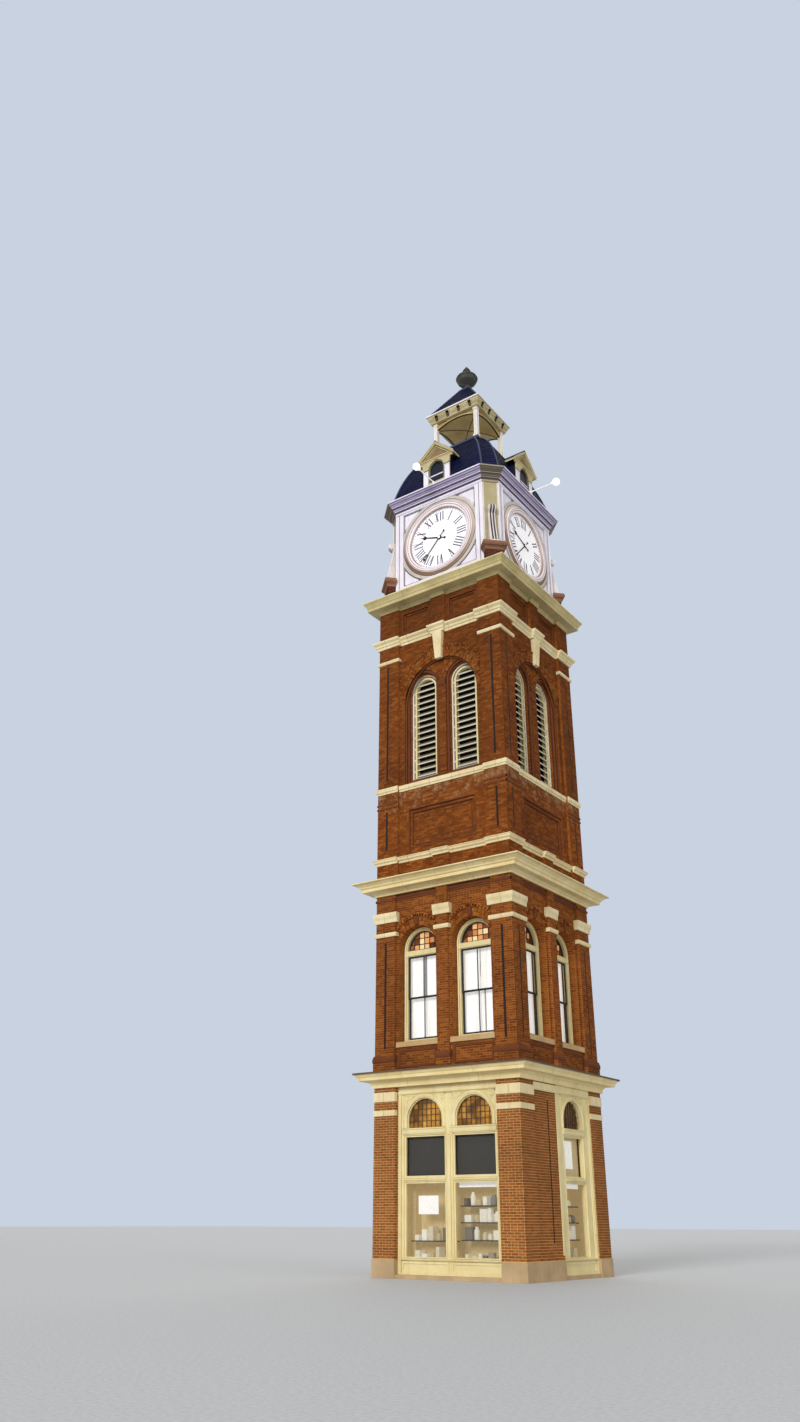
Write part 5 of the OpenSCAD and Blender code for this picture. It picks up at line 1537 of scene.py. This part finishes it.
# Boards and sheets along a gable: their reach, their top and foot from its line, and their back and front
GABLE_BOARDS = ((GABLE_REACH, 0.005, -0.045, 2.5, 2.545), (GABLE_REACH, -0.04, -0.12, 2.5, 2.52),
                (0.64, -0.15, -0.2, DORMER_D, DORMER_D + 0.05))
GABLE_SHEETS = ((GABLE_REACH, 0.0, 0.025, DORMER_BACK, DORMER_FRONT),)


def leg_at(half):
    """The cut corner's leg on the clock stage's eight sides, as wide as half to each side."""
    return CORNER_LEG + (half - CLOCK_HALF) * MITRE


def clock_cornice_trim():
    """Pale fillets painted as highlights, and dark shadow lines, that follow the eight-sided cornice."""
    pale = Shape("clock_cornice_highlight_fillets", "cornice_highlight", smooth=40)
    dark = Shape("clock_cornice_shadows", "shadow_brown")
    for shape, share, reach, tall in (
            (pale, 0.17, 0.17, 0.055), (pale, 0.5, 0.47, 0.05), (pale, 0.87, 0.96, 0.055),
            (dark, 0.02, 0.08, 0.045), (dark, 0.13, 0.12, 0.03), (dark, 0.36, 0.4, 0.03),
            (dark, 0.47, 0.43, 0.024), (dark, 0.68, 0.77, 0.03), (dark, 0.84, 0.945, 0.024)):
        fillet = ((-0.05, 0.0), (tall * 0.4, 0.0), (tall * 0.55, tall * 0.5), (tall * 0.4, tall),
                  (-0.05, tall))
        line = ((-0.04, -0.004), (0.006, -0.004), (0.014, tall - 0.004), (-0.04, tall))
        profile = fillet if shape is pale else line
        half, z = CLOCK_HALF + reach * CORNICE_REACH, Z_CLOCK_TOP + share * CORNICE_H
        shape.eight_sided(moved(half, z, *profile), leg_at)
    pale.eight_sided(moved(CLOCK_HALF, Z_CLOCK_TOP, (-0.02, -0.09), (0.018, -0.09), (0.035, -0.07),
                           (0.035, 0.0), (-0.02, 0.0)), leg_at)


def dome_half(t):
    """The dome's half width at share t of its height, straight between its levels."""
    levels = [DOME_FOOT * (1 - 0.3 * s - 0.3 * s ** 3) for s in steps(DOME_LEVELS, 0.0, 1 / 1.04)]
    n = min(DOME_LEVELS - 1, int(t * DOME_LEVELS))
    part = t * DOME_LEVELS - n
    return levels[n] * (1 - part) + levels[n + 1] * part


def lay_slates(shape, profile, widths):
    """Rows of lapped slates up a slope, from its (out, up) and its half width at each row."""
    for row, ((d0, z0), (d1, z1)) in enumerate(zip(profile, profile[1:])):
        length = math.hypot(d1 - d0, z1 - z0)
        out, up = (z1 - z0) / length, (d0 - d1) / length
        lap = 1 + SLATE_LAP / length
        edges = ((d0, z0), (d0 + (d1 - d0) * lap, z0 + (z1 - z0) * lap))
        low = widths[row]
        count = max(1, round(2 * low / SLATE_W))
        shift = row % 2 / 2
        cuts = [-1.0] + [-1 + 2 * (n + shift) / count for n in range(count + 1)
                         if 0 < n + shift < count] + [1.0]
        gap = SLATE_GAP / max(low, 0.1)
        for a, b in zip(cuts, cuts[1:]):
            corners = []
            for share, k in ((a + gap, 0), (b - gap, 0), (b - gap, 1), (a + gap, 1)):
                (d, z), lift = edges[k], SLATE_LIFTS[k]
                corners.append((share * widths[row + k], d + out * lift, z + up * lift))
            under = [(u, d - out * SLATE_THICK, z - up * SLATE_THICK) for u, d, z in corners]
            shape.add(under + corners, [(4, 5, 6, 7), (0, 1, 5, 4), (1, 2, 6, 5), (3, 0, 4, 7)])


def roofs():
    """Slates, hip rolls and foot flashings of the dome and the lantern's roof."""
    slates = Shape("roof_slates", "slates")
    hips = Shape("roof_hips", "lead_hips", smooth=50)
    halves = [dome_half(t) for t in steps(DOME_ROWS)]
    heights = steps(DOME_ROWS, Z_CORNICE_TOP, Z_CORNICE_TOP + DOME_H)
    main = list(zip(halves, heights))
    cut = [((2 - DOME_LEG) * half / math.sqrt(2), z) for half, z in main]
    slope = list(zip(steps(ROOF_ROWS, *ROOF_HALF), steps(ROOF_ROWS, Z_EAVES, Z_ROOF_TOP)))
    for side in sides():
        lay_slates(slates, main, [(1 - DOME_LEG) * half for half in halves])
        Shape.side = side + 0.5
        lay_slates(slates, cut, [DOME_LEG * half / math.sqrt(2) for half in halves])
        Shape.side = side
        for sign in BOTH:
            hip = [(sign * (1 - DOME_LEG) * half, half + 0.012, z + 0.012) for half, z in main]
            hips.follow(hip, HIP_R, 8)
        lay_slates(slates, slope, [half for half, _ in slope])
        hips.follow([(half + 0.006, half + 0.006, z + 0.01) for half, z in slope], ROOF_HIP_R, 8)
    hips.eight_sided(moved(DOME_FOOT, Z_CORNICE_TOP, (-0.02, 0.0), (0.05, 0.0), (0.05, 0.02), (0.005, 0.1),
                           (-0.04, 0.1)), lambda half: DOME_LEG * half)
    hips.mitred(moved(0.0, Z_ROOF_TOP, (0.17, 0.0), (0.24, -0.06), (0.25, 0.0), (0.22, 0.03), (0.15, 0.03)))
    hips.mitred(moved(1.0, Z_LANTERN, (0.0, 0.02), (0.06, 0.02))
                + moved(1.0, Z_POST, (0.07, -0.03), (0.06, 0.012), (-0.3, 0.02), (-0.3, 0.005)))


def dormer_trim():
    """The dormers' gable boards, closed pediment, posts, arched lintel and roof sheets, with painted shade in
    and round the openings.
    """
    cream = Shape("dormer_trim", "dormer_paint", smooth=40)
    pale = Shape("dormer_posts", "white_paint", smooth=40)
    surround = Shape("dormer_surrounds", "opening_surround", smooth=40)
    brown = Shape("dormer_pediments", "pediment_ochre")
    dark = Shape("dormer_opening_shades", "opening_dark")
    sheets = Shape("dormer_roofs", "roof_metal")
    bar = Shape("dormer_bars", "white_paint")
    z, d = Z_CORNICE_TOP, DORMER_D
    head = [(DORMER_R * math.cos(a), DORMER_SPRING + DORMER_R * math.sin(a))
            for a in steps(10, math.radians(84), math.radians(5))]
    block = [(DORMER_R, 0.95), (0.56, 0.95), (0.61, 1.0), (0.62, 1.26), (0.04, 1.26)] + head
    for _ in sides():
        for sign in BOTH:
            for shape, reach, over, under, d0, d1 in (*((cream, *board) for board in GABLE_BOARDS),
                                                      *((sheets, *sheet) for sheet in GABLE_SHEETS)):
                fall = GABLE_SLOPE * reach
                shape.plate(moved(0.0, z + GABLE_TOP, (0.0, over), (sign * reach, over - fall),
                                  (sign * reach, under - fall), (0.0, under)), d0, d1)
            u0, u1 = ends(sign, *DORMER_POST)
            pale.box(u0, u1, d, d + 0.035, z + 0.02, z + POST_TOP)
            pale.box(u0 - 0.015, u1 + 0.015, d, d + 0.055, z + 0.02, z + 0.2)
            pale.box(u0 - 0.015, u1 + 0.015, d, d + 0.05, z + POST_TOP - 0.04, z + POST_TOP)
            surround.box(u0, u1, d, d + 0.03, z + POST_TOP, z + POST_TOP + 0.05)
            cream.plate([(sign * u, z + h) for u, h in block[::sign]], d, d + 0.055)
            # A dark line of painted shadow beside each post
            dark.box(sign * 0.578, sign * 0.592, 1.5, d - 0.03, z + 0.05, z + 1.44)
        cream.level(moved(d, z, (-0.01, 1.24), (0.035, 1.24), (0.045, 1.3), (0.08, 1.34), (0.1, 1.34),
                          (0.1, 1.38), (0.0, 1.41)), -0.74, 0.74)
        half = (PEDIMENT_TOP - PEDIMENT_FOOT) / GABLE_SLOPE
        face = moved(0.0, z, (-half, PEDIMENT_FOOT), (half, PEDIMENT_FOOT), (0.0, PEDIMENT_TOP))
        brown.plate(face, d, d + 0.008)
        foot, peak = 1.45, PEDIMENT_TOP - 0.1
        half = (peak - foot) / GABLE_SLOPE
        cream.rib(moved(0.0, z, (-half, foot), (half, foot), (0.0, peak), (-half, foot)), d + 0.008, 0.014)
        rim = moved(0.0, d, (-0.03, -0.03), (0.05, -0.03), (0.05, 0.02), (0.02, 0.03), (-0.03, 0.02))
        surround.arched(0.0, z + 0.3, z + DORMER_SPRING, 0.32, rim)
        brown.plate(moved(0.0, z, (-0.05, 1.2), (0.05, 1.2), (0.075, 1.3), (-0.075, 1.3)), d, d + 0.07)
        # A dark line of painted shadow over the lintel moulding
        dark.box(-0.56, 0.56, d, d + 0.014, z + 1.405, z + 1.435)
        sill = moved(d, z, (-0.1, 0.2), (0.06, 0.2), (0.08, 0.24), (0.06, 0.29), (-0.1, 0.31))
        cream.level(sill, -0.38, 0.38)
        # The opening's dark back is painted shade
        dark.arched_plate(0.0, z + 0.29, z + DORMER_SPRING, 0.318, d - 0.045, d - 0.032)
        bar.box(-0.315, 0.315, d - 0.032, d - 0.008, z + 0.6, z + 0.645)
        sheets.box(-0.04, 0.04, DORMER_BACK, DORMER_FRONT, z + 2.085, z + 2.135)


# Lantern, urn and lamps

# The urn's outline: its radius and its share of the height
URN_LINE = ((0.19, 0.0), (0.19, 0.05), (0.12, 0.08), (0.095, 0.13), (0.15, 0.19), (0.25, 0.26), (0.36, 0.34),
            (0.42, 0.44), (0.42, 0.5), (0.37, 0.56), (0.25, 0.64), (0.15, 0.7), (0.11, 0.74), (0.14, 0.78),
            (0.15, 0.82), (0.11, 0.88), (0.04, 0.96))
URN_RIBS = 20
POST_X = 0.94
ARCH_REACH = 0.845
ARCH_RISE = 0.2
ARCH_R = (ARCH_REACH ** 2 + ARCH_RISE ** 2) / (2 * ARCH_RISE)
ARCH_TOP = Z_POST_TOP - 0.07
ARCH_LINE = 0.84
CEILING_HALF = 0.905
CEILING_CELLS = 28
BRACKET_PITCH = 0.525
# Half the gap between two brackets, and the gaps' middles
BRACKET_GAP = 0.065
BRACKET_GAPS = [(k - 1.5) * BRACKET_PITCH for k in range(4)]
BRACKET_BACK = 1.08
# A bracket's outline: its stand-out and its share of the cornice's height
BRACKET_LINE = ((0.0, 0.08), (0.035, 0.08), (0.055, 0.14), (0.05, 0.22), (0.02, 0.24), (0.04, 0.3),
                (0.085, 0.38), (0.085, 0.45), (0.04, 0.47), (0.07, 0.54), (0.12, 0.6), (0.135, 0.66),
                (0.135, 0.76), (0.0, 0.76))
Z_LAMP = Z_CORNICE_TOP + 0.11
LAMP_REACH = 3.75
LAMP_R = 0.134
ARM_JOINT = 2.64
# Collars on a lamp's arm: their back, front and radius
COLLARS = ((LAMP_REACH - 0.2, LAMP_REACH - 0.1, 0.06), (LAMP_REACH - 0.23, LAMP_REACH - 0.2, 0.04),
           (ARM_JOINT - 0.04, ARM_JOINT + 0.04, 0.034))


def urn_radius(share):
    """The urn's radius at a share of its height."""
    for (r0, s0), (r1, s1) in zip(URN_LINE, URN_LINE[1:]):
        if s0 <= share <= s1:
            return r0 + (r1 - r0) * (share - s0) / (s1 - s0)
    return 0.0


def urn_trim():
    """Ribs round the urn's bowl and lid, a rolled lip, and rings at its stem and knob."""
    shape = Shape("urn_ribs", "finial_metal", smooth=50)
    tall = Z_TOP - Z_ROOF_TOP
    for a in turns(URN_RIBS):
        for span in ((0.2, 0.455), (0.53, 0.69)):
            line = [(urn_radius(share) + 0.004, share) for share in steps(8, *span)]
            shape.follow([(r * math.cos(a), r * math.sin(a), Z_ROOF_TOP + share * tall)
                          for r, share in line], 0.016)
    for share, r, size in ((0.475, 0.425, 0.032), (0.515, 0.415, 0.018), (0.065, 0.15, 0.02),
                           (0.13, 0.1, 0.022), (0.725, 0.12, 0.02), (0.8, 0.148, 0.02)):
        profile = circle(r, Z_ROOF_TOP + share * tall, size)
        shape.tube([[(out * math.cos(a), out * math.sin(a), z) for out, z in profile] for a in turns(48)],
                   closed=True)
    shape.mitred(moved(0.0, Z_ROOF_TOP, (0.14, 0.0), (0.21, 0.0), (0.21, 0.05), (0.18, 0.07), (0.14, 0.07)))


def arch_height(x):
    """The lantern arches' soffit, at x across."""
    return ARCH_TOP - ARCH_R + chord(ARCH_R, min(abs(x), ARCH_REACH))


def lantern_trim():
    """The groined ceiling, the arches' mouldings, the posts' edges and the eaves, with dark painted shadows
    among them.
    """
    ceiling = Shape("lantern_ceiling", "lantern_ceiling", smooth=25)
    shade = Shape("lantern_shadows", "eaves_shadow")
    cream = Shape("lantern_mouldings", "dormer_paint", smooth=40)
    white = Shape("lantern_edges", "white_paint", smooth=40)
    grid = steps(CEILING_CELLS, -CEILING_HALF, CEILING_HALF)
    wide = len(grid)
    low = [(x, y, max(arch_height(x), arch_height(y))) for y in grid for x in grid]
    starts = [r * wide + c for r in range(CEILING_CELLS) for c in range(CEILING_CELLS)]
    faces = [(n, n + 1, n + wide + 1, n + wide) for n in starts]
    top = [(x, y, Z_POST_TOP - 0.005) for y in (-CEILING_HALF, CEILING_HALF)
           for x in (-CEILING_HALF, CEILING_HALF)]
    count = len(low)
    ceiling.add(low + top, faces + [(count, count + 1, count + 3, count + 2)])
    for sign in BOTH:
        groin = [(x, sign * x, arch_height(x) - 0.004) for x in steps(28, -ARCH_LINE, ARCH_LINE)]
        shade.follow(groin, 0.013)
    tall = Z_EAVES - Z_POST_TOP
    bracket = [(BRACKET_BACK + out, Z_POST_TOP + up * tall) for out, up in BRACKET_LINE]
    for _ in sides():
        for shape, d0, d1, under, over in ((ceiling, POST_X + 0.028, POST_X + 0.05, 0.0, 0.045),
                                           (shade, POST_X - 0.03, POST_X + 0.03, -0.012, 0.02)):
            line = [(x, arch_height(x)) for x in steps(24, -ARCH_LINE, ARCH_LINE)]
            shape.tube([[(x, d, z + h) for d, h in rectangle(d0, d1, under, over)] for x, z in line])
        for middle in BRACKET_GAPS:
            for reach, foot in ((1.119, 0.1), (1.2, 0.74)):
                shade.box(middle - BRACKET_GAP, middle + BRACKET_GAP, 1.085, reach, Z_POST_TOP + foot * tall,
                          Z_POST_TOP + 0.76 * tall)
        reach = BRACKET_PITCH / 2 - BRACKET_GAP
        for k in (-1, 0, 1):
            cream.level(bracket, k * BRACKET_PITCH - reach, k * BRACKET_PITCH + reach)
        for middle in BRACKET_GAPS:
            for sign in BOTH:
                end = middle + sign * BRACKET_GAP
                shade.level(bracket, end - 0.004, end + 0.004)
        last = BRACKET_GAPS[-1] + BRACKET_GAP
        for sign in BOTH:
            cream.tube([[(sign * last, d, z) for d, z in bracket], [(sign * d, d, z) for d, z in bracket]])
            for off in (-0.06, 0.06):
                edge = circle(sign * POST_X + off, POST_X + 0.075, 0.01)
                white.upright(edge, Z_POST + 0.16, Z_POST_TOP - 0.13)
    white.mitred(moved(0.0, Z_EAVES, (1.24, -0.06), (1.258, -0.055), (1.262, -0.01), (1.25, 0.012),
                       (1.16, 0.022), (1.16, 0.0)))
    cream.mitred(moved(0.0, Z_POST_TOP, (1.09, 0.002), (1.105, 0.002), (1.12, 0.03), (1.1, 0.05),
                       (1.08, 0.05)))


def lamp_globes():
    """A bright globe over each lamp, with a collar where its arm ends."""
    globes = Shape("lamp_globes", "lamp_glow", smooth=60)
    collars = Shape("lamp_collars", "lamp_metal", smooth=40)
    for _ in sides():
        rings = []
        for a in steps(20, 0.0, math.pi)[1:-1]:
            d = LAMP_REACH - LAMP_R * math.cos(a)
            rings.append([(u, d, h) for u, h in circle(0.0, Z_LAMP, LAMP_R * math.sin(a), 24)])
        globes.tube(rings)
        for d0, d1, r in COLLARS:
            collars.tube([[(u, d, h) for u, h in circle(0.0, Z_LAMP, r, 20)] for d in (d0, d1)])


# Camera, light and floor

CAMERA_PLACE = (17.943, -29.727, 1.418)
CAMERA_YAW = math.radians(35.68)
CAMERA_PITCH = math.radians(25.52)
CAMERA_ROLL = math.radians(0.19)
FOCAL_PIXELS = 1070.4
PHOTO_HEIGHT = 1422
SENSOR = 36.0
FLOOR_HALF = 250.0
FLOOR_Z = -0.002
# Each sun's direction, strength and angle
SUNS = {"key": ((0.15, -0.85, 0.3), 2.0, 20.0),
        "fill": ((0.9, -0.3, 0.1), 0.9, 40.0),
        "back": ((-0.5, 0.8, 0.5), 0.7, 60.0)}
# The world's colour and strength, as it lights the scene and as the camera sees it
WORLD_LIGHT = ("#eeebe4", 0.5)
WORLD_SHOWN = ("#c9d2e0", 1.0)


def place(name, data):
    """A new object in the scene."""
    thing = bpy.data.objects.new(name, data)
    bpy.context.scene.collection.objects.link(thing)
    return thing


def add_camera():
    """A camera where the photo's stood."""
    data = bpy.data.cameras.new("camera")
    data.sensor_fit = "AUTO"
    data.sensor_width = SENSOR
    data.lens = FOCAL_PIXELS * SENSOR / PHOTO_HEIGHT
    data.clip_end = 600.0
    camera = place("camera", data)
    camera.location = CAMERA_PLACE
    camera.rotation_mode = "XYZ"
    level = math.cos(CAMERA_PITCH)
    forward = Vector((-math.sin(CAMERA_YAW) * level, math.cos(CAMERA_YAW) * level, math.sin(CAMERA_PITCH)))
    right = Vector((math.cos(CAMERA_YAW), math.sin(CAMERA_YAW), 0.0))
    up = right.cross(forward)
    rolled_right = math.cos(CAMERA_ROLL) * right + math.sin(CAMERA_ROLL) * up
    rolled_up = -math.sin(CAMERA_ROLL) * right + math.cos(CAMERA_ROLL) * up
    matrix = camera.matrix_world.to_3x3()
    for row in range(3):
        matrix[row] = (rolled_right[row], rolled_up[row], -forward[row])
    camera.rotation_euler = matrix.to_euler()
    bpy.context.scene.camera = camera


def add_light():
    """Three suns, a pale world for light, and a blue-grey one that only the camera sees."""
    world = bpy.data.worlds.new("studio")
    world.use_nodes = True
    tree = world.node_tree
    background = tree.nodes["Background"]
    shown = tree.nodes.new("ShaderNodeBackground")
    for node, (colour, strength) in ((background, WORLD_LIGHT), (shown, WORLD_SHOWN)):
        node.inputs[0].default_value = rgba(colour)
        node.inputs[1].default_value = strength
    path = tree.nodes.new("ShaderNodeLightPath")
    mix = tree.nodes.new("ShaderNodeMixShader")
    tree.links.new(path.outputs["Is Camera Ray"], mix.inputs[0])
    tree.links.new(background.outputs[0], mix.inputs[1])
    tree.links.new(shown.outputs[0], mix.inputs[2])
    tree.links.new(mix.outputs[0], tree.nodes["World Output"].inputs[0])
    bpy.context.scene.world = world
    for name, (direction, strength, angle) in SUNS.items():
        data = bpy.data.lights.new(name, "SUN")
        data.energy = strength
        data.angle = math.radians(angle)
        place(name, data).rotation_euler = Vector(direction).to_track_quat("Z", "Y").to_euler()


def add_floor():
    """A pale floor under the tower."""
    mesh = bpy.data.meshes.new("floor")
    corners = [(x, y, FLOOR_Z) for x, y in rectangle(-FLOOR_HALF, FLOOR_HALF, -FLOOR_HALF, FLOOR_HALF)]
    mesh.from_pydata(corners, [], [(0, 1, 2, 3)])
    mesh.materials.append(MATERIALS["floor_pale"])
    place("floor", mesh)


dress_frame()
for side in sides():
    upper_bricks(side)
    shaft_bricks(side)
    pier_bricks(side)
window_sashes()
fanlights()
window_casings()
window_backs()
for side in sides():
    brick_mouldings(side)
slot_shadows()
louvre_slats()
louvre_trim()
shop_mouldings()
shop_windows()
cornice_trim()
dial_marks()
clock_wall_trim()
hand_ridges()
corner_trim()
clock_cornice_trim()
roofs()
dormer_trim()
urn_trim()
lantern_trim()
lamp_globes()
for shape in Shape.pieces:
    make(shape)
add_camera()
add_light()
add_floor()
bpy.context.scene.view_settings.view_transform = "Standard"
